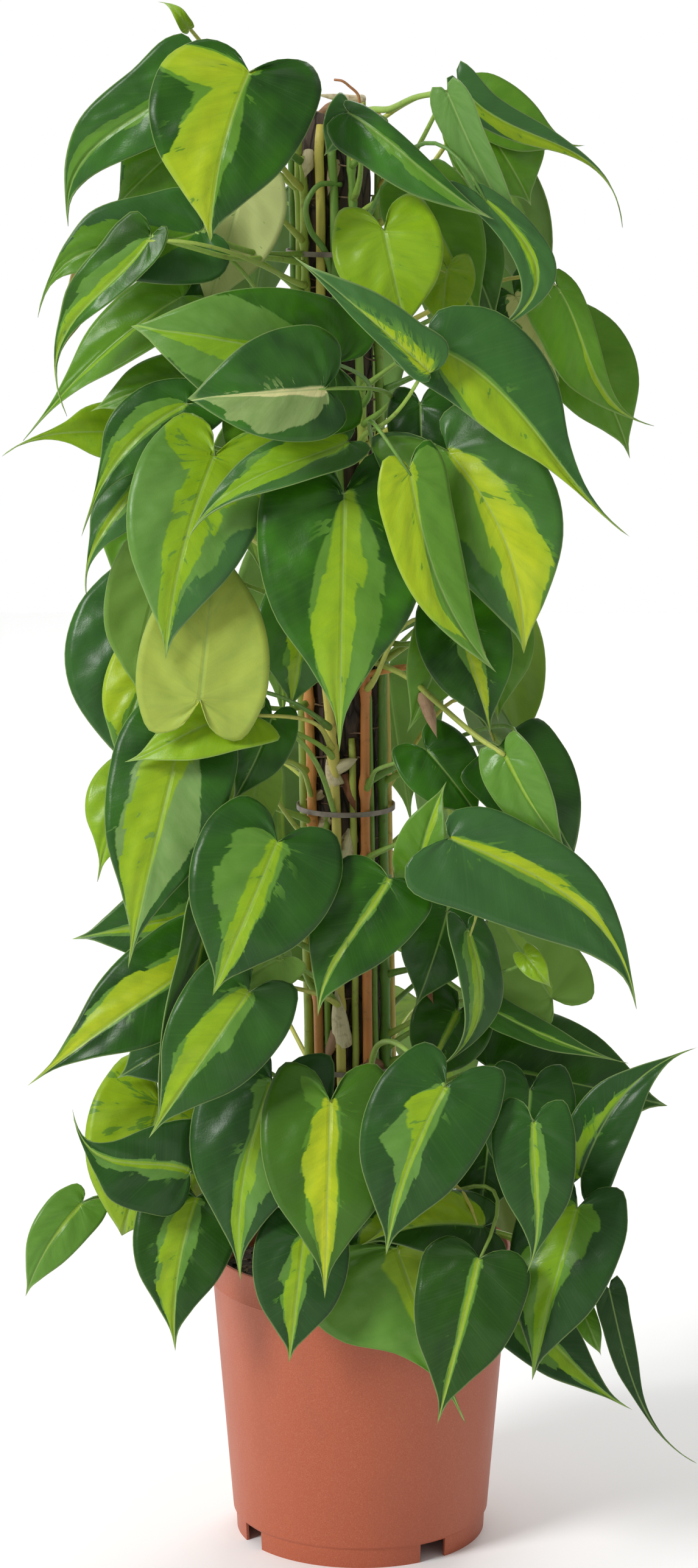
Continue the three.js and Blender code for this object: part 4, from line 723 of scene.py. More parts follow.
# Shapes for the looks. Half widths go to the blades' material in units of HALF_UNIT mm.
BLADE_ACROSS = 18
BLADE_ALONG = 30
SEEN_THICK = 0.6
WAVE_HEIGHT = 0.02
WAVES = 2.6
RIPPLE_HEIGHT = 0.018
RIPPLES = 4.3
RIPPLE_SLANT = 0.1
RIPPLE_FADE = 4
HALF_UNIT = 100
TONE_DRAW = 7.3
DOUBLE_DISTANCE = 0.004
LEAF_LAYERS = ("leaf_shape", "leaf_lime", "leaf_green")
STEM_LAYERS = ("stem_hue",)


def smooth_line(points, count):
    """Even stops on a smooth line through the points, and each stop's place among them"""
    points = np.asarray(points, float)
    spans = np.linalg.norm(np.diff(points, axis=0), axis=1)
    knots = np.concatenate([[0], np.cumsum(spans)])
    slopes = np.gradient(points, knots, axis=0)
    at = np.linspace(0, knots[-1], count)
    i = np.clip(np.searchsorted(knots, at, side="right") - 1, 0, len(points) - 2)
    width = (knots[i + 1] - knots[i])[:, None]
    s = ((at - knots[i]) / (knots[i + 1] - knots[i]))[:, None]
    start = (2 * s**3 - 3 * s**2 + 1) * points[i] + (s**3 - 2 * s**2 + s) * width * slopes[i]
    end = (3 * s**2 - 2 * s**3) * points[i + 1] + (s**3 - s**2) * width * slopes[i + 1]
    return start + end, np.interp(at, knots, np.arange(len(points)))


def warped_grid(mesh, columns, rows, place, layers):
    """Adds a grid and puts each vertex where place says, with values for its layers"""
    grid = bmesh.ops.create_grid(mesh, x_segments=columns, y_segments=rows, size=1)["verts"]
    spots = np.array([vertex.co[:2] for vertex in grid])
    points, values = place(-spots[:, 0], (spots[:, 1] + 1) / 2)
    stored = [mesh.verts.layers.float_color[name] for name in layers]
    for i, vertex in enumerate(grid):
        vertex.co = points[i] * MM
        for layer, value in zip(stored, values):
            vertex[layer] = value[i]
    bmesh.ops.remove_doubles(mesh, verts=grid, dist=DOUBLE_DISTANCE * MM)


def new_mesh(layers=()):
    mesh = bmesh.new()
    for name in layers:
        mesh.verts.layers.float_color.new(name)
    return mesh


def finish_piece(mesh, name, materials, replaced, outwards=True):
    """Makes a shaded piece of a bmesh and lets it ride with the plant"""
    if outwards:
        bmesh.ops.recalc_face_normals(mesh, faces=mesh.faces)
    data = bpy.data.meshes.new(name)
    mesh.to_mesh(data)
    mesh.free()
    piece = bpy.data.objects.new(name, data)
    bpy.context.scene.collection.objects.link(piece)
    for material in materials:
        data.materials.append(material)
    data.shade_smooth()
    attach(piece, "root")
    if replaced:
        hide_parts(*replaced)
    return piece


def four(*parts):
    """Four values for each vertex, from single values or lists of them"""
    return np.stack(np.broadcast_arrays(*parts), axis=-1)


def edges_at(zone, r):
    """The left and right edge of a zone at each share of the way from notch to tip"""
    stops = np.linspace(0, 1, len(zone))
    return [np.interp(r, stops, edges) for edges in zip(*zone)]


def add_blade(mesh, leaf, placed, seed):
    """One blade: its veins run from the midrib to the margin along the grid's rows"""
    length = np.linalg.norm(placed["along"])
    back = leaf["lobe"] * leaf["wide"] / length
    tail = leaf["tail"]
    outline = [(0, 0)]
    outline += [(w * leaf["wide"], -y * back * length) for w, y in LOBE_OUTLINE]
    outline += [(w * leaf["wide"], y * (1 - tail) * length) for w, y in BODY_OUTLINE]
    outline += [(DRIP_WIDTH * leaf["wide"], (1 - tail * (1 - DRIP_STOP)) * length), (0, length)]
    margin, stations = smooth_line(outline, BLADE_ALONG + 1)
    margin[:, 0] = np.clip(margin[:, 0], 0, None)
    rib = np.interp(stations, range(len(RIB_SHARES)), RIB_SHARES) * length
    look = LOOKS[leaf["look"]]
    stops = np.linspace(0, 1, BLADE_ALONG + 1)
    phase = seed * 2 * math.pi

    def place(t, r):
        half = np.interp(r, stops, margin[:, 0])
        start = np.interp(r, stops, rib)
        end = np.interp(r, stops, margin[:, 1])
        y = (start + abs(t) * (end - start)) / length
        swell = WAVE_HEIGHT * np.sin(2 * math.pi * WAVES * r + phase + np.sign(t)) * (1 - r) * t * t
        ripple = np.sin(2 * math.pi * RIPPLES * (r - RIPPLE_SLANT * abs(t)) + 3 * phase + 2 * t)
        fade = np.sin(math.pi * abs(t)) ** 2 * np.clip(RIPPLE_FADE * (1 - r), 0, 1)
        swell += RIPPLE_HEIGHT * ripple * fade
        points = blade_point(leaf, placed, t * half, y, leaf["wide"] * swell)
        lime = edges_at(look["lime"], r)
        green = edges_at(look["green"], r)
        shape = four(t, r, half / HALF_UNIT, seed)
        lime = four(*lime, look["yellow"], look["fleck"])
        green = four(*green, look["grey"], look["tone"] or (seed * TONE_DRAW) % 1)
        return points, [shape, lime, green]

    warped_grid(mesh, BLADE_ACROSS, BLADE_ALONG, place, LEAF_LAYERS)


def add_tube(mesh, line, radii, sides, hues):
    """A closed tube along a line of points, ending in a point at both ends"""
    line = np.asarray(line, float)
    headings = unit(np.gradient(line, axis=0))
    sides_of = [unit(np.cross(headings[0], headings[0][[1, 2, 0]] + 0.1))]
    for heading in headings[1:]:
        sides_of.append(unit(sides_of[-1] - heading * (sides_of[-1] @ heading)))
    asides = np.array(sides_of)
    rows = len(line) + 1

    def place(t, r):
        row = np.rint(r * rows).astype(int)
        at = np.clip(row - 1, 0, len(line) - 1)
        radius = np.where((row == 0) | (row == rows), 0, np.asarray(radii)[at])
        turn = (math.pi * t)[:, None]
        across = np.cross(headings[at], asides[at])
        points = line[at] + (asides[at] * np.cos(turn) + across * np.sin(turn)) * radius[:, None]
        return points, [four(np.asarray(hues)[at], r, t, 1)]

    warped_grid(mesh, sides, rows, place, STEM_LAYERS)


# Petioles and stems. Reaches, wobbles and lengths are in mm, and a hue is a colour place as in
# the stems' own, with 1.3 for a brown root.
PETIOLE_STOPS = 15
PETIOLE_SIDES = 8
PETIOLE_SLIM = 0.86
PETIOLE_END = 0.8
SHEATH_SWELL = 0.5
SHEATH_REACH = 0.16
STEM_SIDES = 12
STEM_STOP = 4
STEM_SLIM = 0.93
STEM_FULLEST = 1.25
STEM_END = 0.6
STEM_WOBBLE = 0.5
STEM_WOBBLE_LENGTH = 40
HUE_HEIGHTS = (550, 760)
KNOT_SWELL = 0.35
KNOT_REACH = 3.5
THIN_SIDES = 10
THIN_WOBBLE = 3
THIN_WOBBLE_LENGTH = 45
THIN_SEAT = 0.75
THIN_DIVE = 19
THIN_DIVE_START = 0.9
LOOSE_SIDES = 8
LOOSE_STOPS = 8
LOOSE_TAPER = (1.15, 0.85)
ROOT_LOWEST = 195
ROOT_BELOW_TOP = 10
ROOT_STEP = 17
ROOT_STRAY = 9
ROOT_SPREAD = (5, 8)
ROOT_DROP = 8
ROOT_LEAN = 0.2
ROOT_GRIP = 0.6
ROOT_DIVE = 1.6
ROOT_STOPS = 7
ROOT_SIDES = 6
ROOT_RADIUS = 0.7
ROOT_TAPER = 0.6
ROOT_HUE = 1.3
ROOT_SEED = 37

# Thin stems against the bark: turn at foot and top in degrees, foot and top in mm, radius, hue
THIN_STEMS = [
    (-26, -22, 560, 892, 2.9, 0.5),
    (0, -3, 590, 884, 2.7, 0.08),
    (34, 44, 480, 700, 1.8, 0.7),
    (6, 12, 180, 520, 2.2, 0.35),
    (44, 40, 180, 560, 2.3, 0.12),
    (-38, -34, 180, 470, 2.1, 0.2),
    (-62, -66, 300, 640, 2.0, 0.55),
    (78, 86, 180, 600, 2.0, 0.1),
    (112, 116, 200, 700, 1.9, 0.4),
    (146, 150, 190, 620, 2.1, 0.2),
    (202, 206, 220, 760, 2.0, 0.5),
    (234, 236, 190, 560, 2.0, 0.15),
    (264, 262, 240, 800, 1.9, 0.35),
]

# Petioles and dry stalks over the leafy stems' own ones: the stem and height where each starts,
# radius and hue, then the pixels it passes with their distance in front of the pot's axis
LOOSE_PETIOLES = [
    ("vine_01", 812, 1.8, 0.18, [(448, 418, 50), (402, 411, 74), (362, 396, 84), (331, 379, 88)]),
    ("vine_01", 806, 1.7, 0.25, [(440, 424, 62), (380, 424, 92), (312, 406, 106), (249, 388, 108)]),
    ("vine_03", 574, 1.7, 0.15, [(680, 1056, 40), (718, 1040, 54), (744, 1013, 62)]),
    (
        "vine_02", 556, 1.9, 0.95,
        [(640, 1100, 36), (716, 1087, 58), (758, 1069, 70), (800, 1040, 80), (838, 985, 86)],
    ),
    ("vine_02", 566, 1.8, 0.35, [(668, 1112, 56), (722, 1158, 88), (786, 1212, 104), (829, 1241, 112)]),
    ("vine_01", 467, 1.6, 0.2, [(528, 1272, 40), (505, 1232, 56), (478, 1203, 66), (446, 1179, 72)]),
    ("vine_11", 478, 1.5, 0.3, [(494, 1262, 36), (462, 1250, 56), (425, 1270, 72)]),
    ("vine_01", 347, 1.6, 0.15, [(524, 1612, 44), (492, 1588, 57), (463, 1573, 66)]),
    ("vine_02", 386, 1.6, 0.2, [(650, 1556, 40), (704, 1590, 60), (760, 1630, 72), (799, 1655, 78)]),
    (
        "vine_02", 288, 1.8, 0.2,
        [(612, 1738, 44), (622, 1716, 66), (646, 1712, 92), (692, 1747, 126), (731, 1784, 140)],
    ),
    ("vine_02", 868, 2.0, 0.25, [(596, 188, 36), (640, 179, 62), (690, 158, 92), (734, 152, 109)]),
    ("vine_02", 872, 2.3, 0.35, [(566, 196, 24), (562, 182, 22), (580, 172, 21), (600, 170, 22)]),
    (
        "vine_02", 862, 1.9, 0.6,
        [(596, 190, 26), (612, 180, 20), (630, 210, 12), (645, 246, 2), (634, 288, -3), (622, 308, -4)],
    ),
    (
        "vine_02", 872, 0.9, 1.2,
        [(590, 176, 27), (588, 156, 27), (574, 142, 27), (562, 133, 27), (549, 131, 25)],
    ),
]
CURLED_PETIOLE = (
    1.8, 0.05,
    [(545, 452, 21), (533, 412, 27), (509, 376, 32), (503, 336, 33), (522, 305, 31), (560, 303, 22)],
)


def add_petiole(mesh, line, hue):
    """A petiole: swollen where it clasps its stem and where it meets its blade"""
    shares = np.linspace(0, 1, PETIOLE_STOPS)
    points = np.array([bezier(line, share) for share in shares])
    radii = PETIOLE_RADIUS * (PETIOLE_BASE_SWELL - PETIOLE_TAPER * shares) * PETIOLE_SLIM
    radii *= 1 + SHEATH_SWELL * np.exp(-((shares / SHEATH_REACH) ** 2))
    radii[-1] *= PETIOLE_END
    add_tube(mesh, points, radii, PETIOLE_SIDES, np.full(PETIOLE_STOPS, hue))


def add_stem(mesh, stem, knots):
    """A stem, with a knot wherever a petiole leaves it"""
    heights = np.arange(STEM_BOTTOM, stem["top"], STEM_STOP)
    points = np.array([stem_centre(stem, z) for z in heights])
    spots = [Vector((z / STEM_WOBBLE_LENGTH, stem["top"], 0)) for z in heights]
    points[:, 0] += [STEM_WOBBLE * noise.noise(spot) for spot in spots]
    radii = np.array([stem_radius(stem, z) for z in heights]) * STEM_SLIM
    for knot in knots:
        radii *= 1 + KNOT_SWELL * np.exp(-(((heights - knot) / KNOT_REACH) ** 2))
    radii = np.minimum(radii, STEM_RADIUS * STEM_FULLEST)
    radii[-1] *= STEM_END
    hues = np.interp(heights, HUE_HEIGHTS, stem["hues"])
    add_tube(mesh, points, radii, STEM_SIDES, hues)


def add_thin_stems(mesh):
    """Thinner stems that lie against the bark between the main ones"""
    for low_turn, high_turn, low, high, radius, hue in THIN_STEMS:
        heights = np.arange(low, high, 2 * STEM_STOP)
        shares = (heights - low) / (high - low)
        line = []
        for share, z in zip(shares, heights):
            wobble = THIN_WOBBLE * noise.noise(Vector((z / THIN_WOBBLE_LENGTH, hue, low)))
            turn = math.radians(low_turn + (high_turn - low_turn) * share + wobble)
            dive = THIN_DIVE * max(0, abs(2 * share - 1) - THIN_DIVE_START)
            line.append(beside_pole(z, turn, POLE_RADIUS + radius * (THIN_SEAT - dive)))
        add_tube(mesh, line, np.full(len(line), radius), THIN_SIDES, np.full(len(line), hue))


def points_at(spots):
    """The points of pixels that each come with a distance in front of the pot's axis"""
    return [point_at((x, y), out) for x, y, out in spots]


def add_loose_petioles(mesh):
    """Petioles and dry stalks read from the front, each from a stem or the pole"""
    radius, hue, spots = CURLED_PETIOLE
    lines = [(radius, hue, points_at(spots))]
    for name, z, radius, hue, spots in LOOSE_PETIOLES:
        lines.append((radius, hue, [stem_centre(STEMS[name], z), *points_at(spots)]))
    for radius, hue, stops in lines:
        line, _ = smooth_line(stops, LOOSE_STOPS * len(stops))
        radii = np.linspace(radius * LOOSE_TAPER[0], radius * LOOSE_TAPER[1], len(line))
        add_tube(mesh, line, radii, LOOSE_SIDES, np.full(len(line), hue))


def add_roots(mesh, stem, draws):
    """Short roots that leave the stem sideways and grip the bark"""
    shares = np.linspace(0, 1, ROOT_STOPS)
    radii = ROOT_RADIUS * (1 - ROOT_TAPER * shares)
    for z in np.arange(ROOT_LOWEST, stem["top"] - ROOT_BELOW_TOP, ROOT_STEP):
        start = stem_centre(stem, z + ROOT_STRAY * next(draws))
        centre = pole_centre(z)
        radial = unit((start - centre) * (1, 1, 0))
        aside = np.cross(radial, UP) * (1 if next(draws) > 0.5 else -1)
        spread = ROOT_SPREAD[0] + ROOT_SPREAD[1] * next(draws)
        drop = ROOT_DROP * (next(draws) - 0.5)
        line = []
        for share in shares:
            way = unit(radial * (1 - share * ROOT_LEAN) + aside * share * spread / POLE_RADIUS)
            depth = (STEM_REACH - POLE_RADIUS + ROOT_GRIP) * min(1, share * ROOT_DIVE)
            height = start[2] - z + drop * share * share
            line.append(centre + way * (STEM_REACH - depth) + UP * height)
        add_tube(mesh, line, radii, ROOT_SIDES, np.full(ROOT_STOPS, ROOT_HUE))


class Finish:
    """A material's nodes, built with short words"""

    def __init__(self, name):
        self.material = bpy.data.materials.new(name)
        self.material.use_nodes = True
        self.tree = self.material.node_tree
        self.shader = self.tree.nodes["Principled BSDF"]

    def node(self, kind, *values, **settings):
        made = self.tree.nodes.new("ShaderNode" + kind)
        for name, value in settings.items():
            setattr(made, name, value)
        for value, socket in zip(values, made.inputs):
            self.feed(value, socket)
        return made

    def feed(self, value, socket):
        if isinstance(value, bpy.types.NodeSocket):
            self.tree.links.new(value, socket)
        elif value is not None:
            socket.default_value = value

    def math(self, operation, *values):
        return self.node("Math", *values, operation=operation).outputs[0]

    def ramp(self, value, low, high, start=0.0, end=1.0):
        return self.node("MapRange", value, low, high, start, end).outputs[0]

    def mix(self, share, first, second):
        made = self.node("Mix", data_type="RGBA")
        self.feed(share, made.inputs[0])
        self.feed(first, made.inputs[6])
        self.feed(second, made.inputs[7])
        return made.outputs[2]

    def tint(self, first, second, value, low, high, start=0.0, end=1.0):
        """The first colour with a share of the second that follows a value from low to high"""
        return self.mix(self.ramp(value, low, high, start, end), first, second)

    def attribute(self, name):
        made = self.node("Attribute", attribute_name=name)
        parts = self.node("SeparateXYZ", made.outputs["Vector"]).outputs
        return parts[0], parts[1], parts[2], made.outputs["Alpha"]

    def place(self, stretch=(1, 1, 1)):
        coordinates = self.node("TexCoord").outputs["Object"]
        return self.node("Mapping", coordinates, None, None, stretch).outputs[0]

    def noise(self, vector, scale, detail=2.0, roughness=0.5):
        return self.node("TexNoise", vector, None, scale, detail, roughness).outputs[0]

    def line_noise(self, place, scale, detail=1.0):
        made = self.node("TexNoise", None, place, scale, detail, 0.6, noise_dimensions="1D")
        return made.outputs[0]

    def steps(self, place):
        """A level for each whole number of place"""
        whole = self.math("FLOOR", place)
        return self.node("TexWhiteNoise", None, whole, noise_dimensions="1D").outputs[0]

    def set(self, **values):
        for name, value in values.items():
            self.feed(value, self.shader.inputs[name.replace("_", " ").title()])

    def bump(self, height, strength, distance):
        made = self.node("Bump")
        made.inputs["Strength"].default_value = strength
        made.inputs["Distance"].default_value = distance
        self.feed(height, made.inputs["Height"])
        self.feed(made.outputs[0], self.shader.inputs["Normal"])


# Leaf markings. A zone's edge strays in steps, waves and feathers along the line of the side
# veins; the paces say how many of each there are for a vein, and the offsets keep the two
# sides and the two zones from straying alike.
VEINS = 9
LEAF_SHEEN = 0.27
ZONE_SOFTNESS = 0.016
STEP_REACH = 0.13
STEP_PACE = 1.6
WAVE_REACH = 0.3
WAVE_PACE = 0.7
FEATHER_REACH = 0.05
FEATHER_PACE = 7.0
FULLY_RAGGED = 0.4
SEED_OFFSET = 61.0
SIDE_OFFSET = 13.5
LEFT_OFFSET = 31
GREEN_OFFSET = 7
STREAK_PACE = 2.6
STREAK_LENGTH = 1.8
FLECK_SHARE = 0.3
FIBRE_PACE = 12.0
CLOUD_SCALE = 34.0
CELL_SCALE = 900.0
CELL_RELIEF = 0.1
PUCKER_SCALE = 60.0
PUCKER_RELIEF = 2.4
GROOVE_RELIEF = 0.6
LEAF_RELIEF = 0.0012
COOL_DRAW = 13.7


def ragged(finish, edge, line, offset):
    """A zone's edge with the steps, waves and feathering that side veins give it"""
    place = finish.math("ADD", line, offset)
    steps = finish.math("SUBTRACT", finish.steps(finish.math("MULTIPLY", place, STEP_PACE)), 0.5)
    waves = finish.math("SUBTRACT", finish.line_noise(place, WAVE_PACE, 1.0), 0.5)
    feathers = finish.math("SUBTRACT", finish.line_noise(place, FEATHER_PACE, 2.0), 0.5)
    jag = finish.math("MULTIPLY", steps, STEP_REACH)
    jag = finish.math("MULTIPLY_ADD", waves, WAVE_REACH, jag)
    jag = finish.math("MULTIPLY_ADD", feathers, FEATHER_REACH, jag)
    room = finish.ramp(finish.math("ABSOLUTE", edge), 0.0, FULLY_RAGGED)
    return finish.math("MULTIPLY_ADD", jag, room, edge)


def zone(finish, left, right, across, line, offset):
    """How far inside a zone each place lies, as a share of the half width"""
    to_right = finish.math("SUBTRACT", ragged(finish, right, line, offset), across)
    to_left = finish.math("SUBTRACT", across, ragged(finish, left, line, offset + LEFT_OFFSET))
    return finish.math("MINIMUM", to_right, to_left)


def dark_zone(finish, colours, seed, tone, clouds):
    """Dark green in clouds of deeper green, cooler or fresher from leaf to leaf, and deepened by painted
    shade low on the plant
    """
    colour = finish.tint(colours["dark"], colours["deep"], clouds, 0.3, 0.7)
    colour = finish.tint(colour, colours["middle"], tone, 0.5, 1.0, 0.0, 0.28)
    colour = finish.tint(colour, colours["deep"], tone, 0.0, 0.3, 0.45, 0.0)
    coolness = finish.math("FRACT", finish.math("MULTIPLY", seed, COOL_DRAW))
    colour = finish.tint(colour, colours["cool"], coolness, 0.25, 1.0, 0.0, 0.85)
    # Painted shade: the blades' dark green deepens towards the bottom of the plant, from 0.52 m above the
    # floor downwards
    painted_shade_height = finish.node("SeparateXYZ", finish.place()).outputs[2]
    colour = finish.tint(colour, colours["deep"], painted_shade_height, 0.2, 0.52, 0.8, 0.0)
    return finish.tint(colour, colours["middle"], tone, 1.0, 2.0, 0.0, 0.55)


def green_zone(finish, colours, grey, streaks):
    """The paler green beside the lime, greyish to creamy"""
    colour = finish.mix(finish.math("MULTIPLY", grey, 0.9), colours["middle"], colours["grey"])
    colour = finish.tint(colour, colours["cream"], grey, 1.0, 2.0, 0.0, 0.5)
    return finish.tint(colour, colours["dark"], streaks, 0.35, 0.75, 0.0, 0.35)


def lime_zone(finish, colours, inside, yellow, streaks):
    """Lime that turns to yellow inwards, and to cream or withered brown on some leaves"""
    inwards = finish.ramp(inside, 0.0, 0.35, 0.55, 1.0)
    warm = finish.math("MULTIPLY", inwards, finish.ramp(yellow, 0.0, 1.0))
    colour = finish.mix(warm, colours["lime"], colours["yellow"])
    colour = finish.tint(colour, colours["middle"], streaks, 0.4, 0.8, 0.0, 0.4)
    colour = finish.tint(colour, colours["cream"], yellow, 1.0, 2.0)
    return finish.tint(colour, colours["dry"], yellow, 2.0, 3.0)


def leaf_finish(name, colours, roughness, bump):
    """Lime, paler green and dark zones whose edges step along the side veins"""
    finish = Finish(name)
    across, along, half, seed = finish.attribute("leaf_shape")
    left, right, yellow, fleck = finish.attribute("leaf_lime")
    green_left, green_right, grey, tone = finish.attribute("leaf_green")
    size = finish.math("ABSOLUTE", across)
    vein = finish.math("MULTIPLY", along, VEINS)
    side = finish.math("MULTIPLY", finish.math("SIGN", across), SIDE_OFFSET)
    line = finish.math("ADD", vein, finish.math("MULTIPLY_ADD", seed, SEED_OFFSET, side))
    inside = zone(finish, left, right, across, line, 0)
    beyond = zone(finish, green_left, green_right, across, line, GREEN_OFFSET)
    lime = finish.ramp(inside, -ZONE_SOFTNESS, ZONE_SOFTNESS)
    green = finish.ramp(beyond, -ZONE_SOFTNESS, ZONE_SOFTNESS)

    # Streaks of the other colours, thin across the veins and long along them
    thin = finish.math("MULTIPLY", line, STREAK_PACE)
    long = finish.math("MULTIPLY", size, STREAK_LENGTH)
    grain = finish.node("CombineXYZ", thin, long, seed).outputs[0]
    streaks = finish.noise(grain, 1.0, 3.0, 0.6)
    flecks = finish.math("MULTIPLY_ADD", fleck, FLECK_SHARE, streaks)
    gaps = finish.ramp(flecks, 0.7, 0.72, 0.0, 0.8)
    lime = finish.math("SUBTRACT", lime, finish.math("MULTIPLY", gaps, lime))
    near = finish.ramp(inside, -0.35, -0.03)
    strays = finish.math("MULTIPLY", finish.ramp(flecks, 0.66, 0.68), near)
    green = finish.math("MAXIMUM", green, strays)

    clouds = finish.noise(finish.place(), CLOUD_SCALE, 2.0)
    fibres = finish.line_noise(line, FIBRE_PACE, 3.0)
    dark = dark_zone(finish, colours, seed, tone, clouds)
    colour = finish.mix(green, dark, green_zone(finish, colours, grey, streaks))
    colour = finish.mix(lime, colour, lime_zone(finish, colours, inside, yellow, streaks))
    colour = finish.tint(colour, colours["vein"], fibres, 0.45, 0.75, 0.0, 0.07)

    # Veins, midrib and margin
    from_vein = finish.math("ABSOLUTE", finish.math("SUBTRACT", finish.math("FRACT", vein), 0.5))
    fading = finish.ramp(size, 0.1, 0.9, 0.12, 0.01)
    on_vein = finish.math("MULTIPLY", finish.ramp(from_vein, 0.0, 0.05, 1.0, 0.0), fading)
    colour = finish.mix(on_vein, colour, colours["vein"])
    from_rib = finish.math("MULTIPLY", size, half)
    colour = finish.tint(colour, colours["rib"], from_rib, 0.002, 0.008, 0.5, 0.0)
    from_margin = finish.math("MULTIPLY", finish.math("SUBTRACT", 1.0, size), half)
    colour = finish.tint(colour, colours["rib"], from_margin, 0.001, 0.006, 0.6, 0.0)
    spread = finish.ramp(clouds, 0.3, 0.7, roughness - 0.05, roughness + 0.07)
    finish.set(base_color=colour, roughness=spread)
    finish.shader.inputs["Specular IOR Level"].default_value = LEAF_SHEEN

    # Quilting between the veins, a groove along the midrib, puckers and fine cells
    quilt = finish.ramp(from_vein, 0.0, 0.3)
    groove = finish.ramp(from_rib, 0.002, 0.02)
    cells = finish.noise(finish.place(), CELL_SCALE, 2.0)
    puckers = finish.noise(finish.place(), PUCKER_SCALE, 1.0)
    relief = finish.math("MULTIPLY", quilt, finish.ramp(size, 0.0, 1.0, 0.22, 0.05))
    relief = finish.math("MULTIPLY_ADD", groove, GROOVE_RELIEF, relief)
    relief = finish.math("MULTIPLY_ADD", puckers, PUCKER_RELIEF, relief)
    relief = finish.math("MULTIPLY_ADD", cells, CELL_RELIEF, relief)
    finish.bump(relief, bump, LEAF_RELIEF)
    return finish.material


def stem_finish(colours):
    """Green to orange-brown rind with fine streaks along it, and brown roots"""
    finish = Finish("stem_rind")
    hue = finish.attribute("stem_hue")[0]
    streaks = finish.noise(finish.place((1, 1, 0.12)), 620.0, 3.0, 0.6)
    spots = finish.noise(finish.place(), 160.0, 3.0, 0.6)
    colour = finish.tint(colours["fresh"], colours["light"], hue, 0.0, 0.25)
    colour = finish.tint(colour, colours["yellow"], hue, 0.25, 0.5)
    colour = finish.tint(colour, colours["orange"], hue, 0.5, 1.0)
    colour = finish.tint(colour, colours["root"], hue, 1.1, 1.3)
    colour = finish.tint(colour, colours["streak"], streaks, 0.5, 0.75, 0.0, 0.35)
    colour = finish.tint(colour, colours["spot"], spots, 0.58, 0.78, 0.0, 0.55)
    finish.set(base_color=colour, roughness=finish.ramp(spots, 0.3, 0.7, 0.38, 0.6))
    finish.bump(finish.math("ADD", streaks, spots), 0.35, 0.0006)
    return finish.material


def bark_finish(colours):
    """Rough fibrous bark, with painted shade in its cracks"""
    finish = Finish("pole_bark")
    fibres = finish.noise(finish.place((1, 1, 0.1)), 260.0, 5.0, 0.65)
    flat = finish.place((1, 1, 0.3))
    plates = finish.node("TexVoronoi", flat, None, 90.0, feature="DISTANCE_TO_EDGE").outputs[0]
    patches = finish.noise(finish.place(), 26.0, 3.0)
    colour = finish.tint(colours["dark"], colours["light"], fibres, 0.3, 0.72)
    colour = finish.tint(colour, colours["patch"], patches, 0.45, 0.7, 0.0, 0.5)
    # Painted shade: a near black colour painted along the edges of the bark's plates, where the cracks sink
    crack = finish.ramp(plates, 0.0, 0.08)
    colour = finish.mix(crack, colours["crack"], colour)
    finish.set(base_color=colour, roughness=finish.ramp(fibres, 0.3, 0.7, 0.8, 0.95))
    finish.bump(finish.math("MULTIPLY_ADD", crack, 0.8, fibres), 0.9, 0.0016)
    return finish.material


def soil_finish(colours):
    """Dark peat with lighter bark fines"""
    finish = Finish("potting_soil")
    lumps = finish.noise(finish.place(), 210.0, 4.0, 0.65)
    bits = finish.node("TexVoronoi", finish.place(), None, 330.0).outputs["Color"]
    level = finish.node("SeparateXYZ", bits).outputs[0]
    colour = finish.tint(colours["peat"], colours["dry_peat"], lumps, 0.3, 0.7)
    colour = finish.tint(colour, colours["fines"], level, 0.84, 0.95, 0.0, 0.7)
    finish.set(base_color=colour, roughness=finish.ramp(lumps, 0.3, 0.7, 0.85, 1.0))
    finish.bump(finish.math("ADD", lumps, level), 0.8, 0.0018)
    return finish.material


def pot_finish(colours):
    """Terracotta-coloured plastic with a fine speckle and faint wear"""
    finish = Finish("pot_plastic")
    speckle = finish.noise(finish.place(), 1500.0, 2.0)
    wear = finish.noise(finish.place((1, 1, 0.5)), 34.0, 4.0, 0.6)
    colour = finish.tint(colours["plastic"], colours["speckle"], speckle, 0.45, 0.75, 0.0, 0.25)
    colour = finish.tint(colour, colours["wear"], wear, 0.5, 0.8, 0.0, 0.3)
    finish.set(base_color=colour, roughness=finish.ramp(wear, 0.3, 0.7, 0.42, 0.54))
    finish.bump(finish.math("MULTIPLY_ADD", speckle, 0.5, wear), 0.12, 0.0006)
    return finish.material


def tie_finish(colours):
    """Grey-brown stretch tape with a fine rib"""
    finish = Finish("tie_tape")
    ribs = finish.noise(finish.place((0.2, 0.2, 1)), 1400.0, 2.0)
    dirt = finish.noise(finish.place(), 120.0, 3.0)
    colour = finish.tint(colours["tape"], colours["dirt"], dirt, 0.35, 0.7)
    finish.set(base_color=colour, roughness=finish.ramp(ribs, 0.3, 0.7, 0.5, 0.65))
    finish.bump(ribs, 0.3, 0.0004)
    return finish.material


def husk_finish(colours):
    """Dry papery husk, cream to tan with brown fibres"""
    finish = Finish("dry_husk")
    across, along, _, brown = finish.attribute("leaf_shape")
    grain = finish.node("CombineXYZ", finish.math("MULTIPLY", across, 16.0), along, brown)
    fibres = finish.noise(grain.outputs[0], 1.3, 4.0, 0.6)
    blotches = finish.noise(finish.place(), 170.0, 3.0)
    colour = finish.tint(colours["tan"], colours["cream"], fibres, 0.35, 0.65)
    colour = finish.mix(brown, colour, colours["brown"])
    colour = finish.tint(colour, colours["blotch"], blotches, 0.52, 0.7, 0.0, 0.55)
    finish.set(base_color=colour, roughness=finish.ramp(fibres, 0.3, 0.7, 0.6, 0.8))
    finish.bump(fibres, 0.5, 0.0006)
    return finish.material


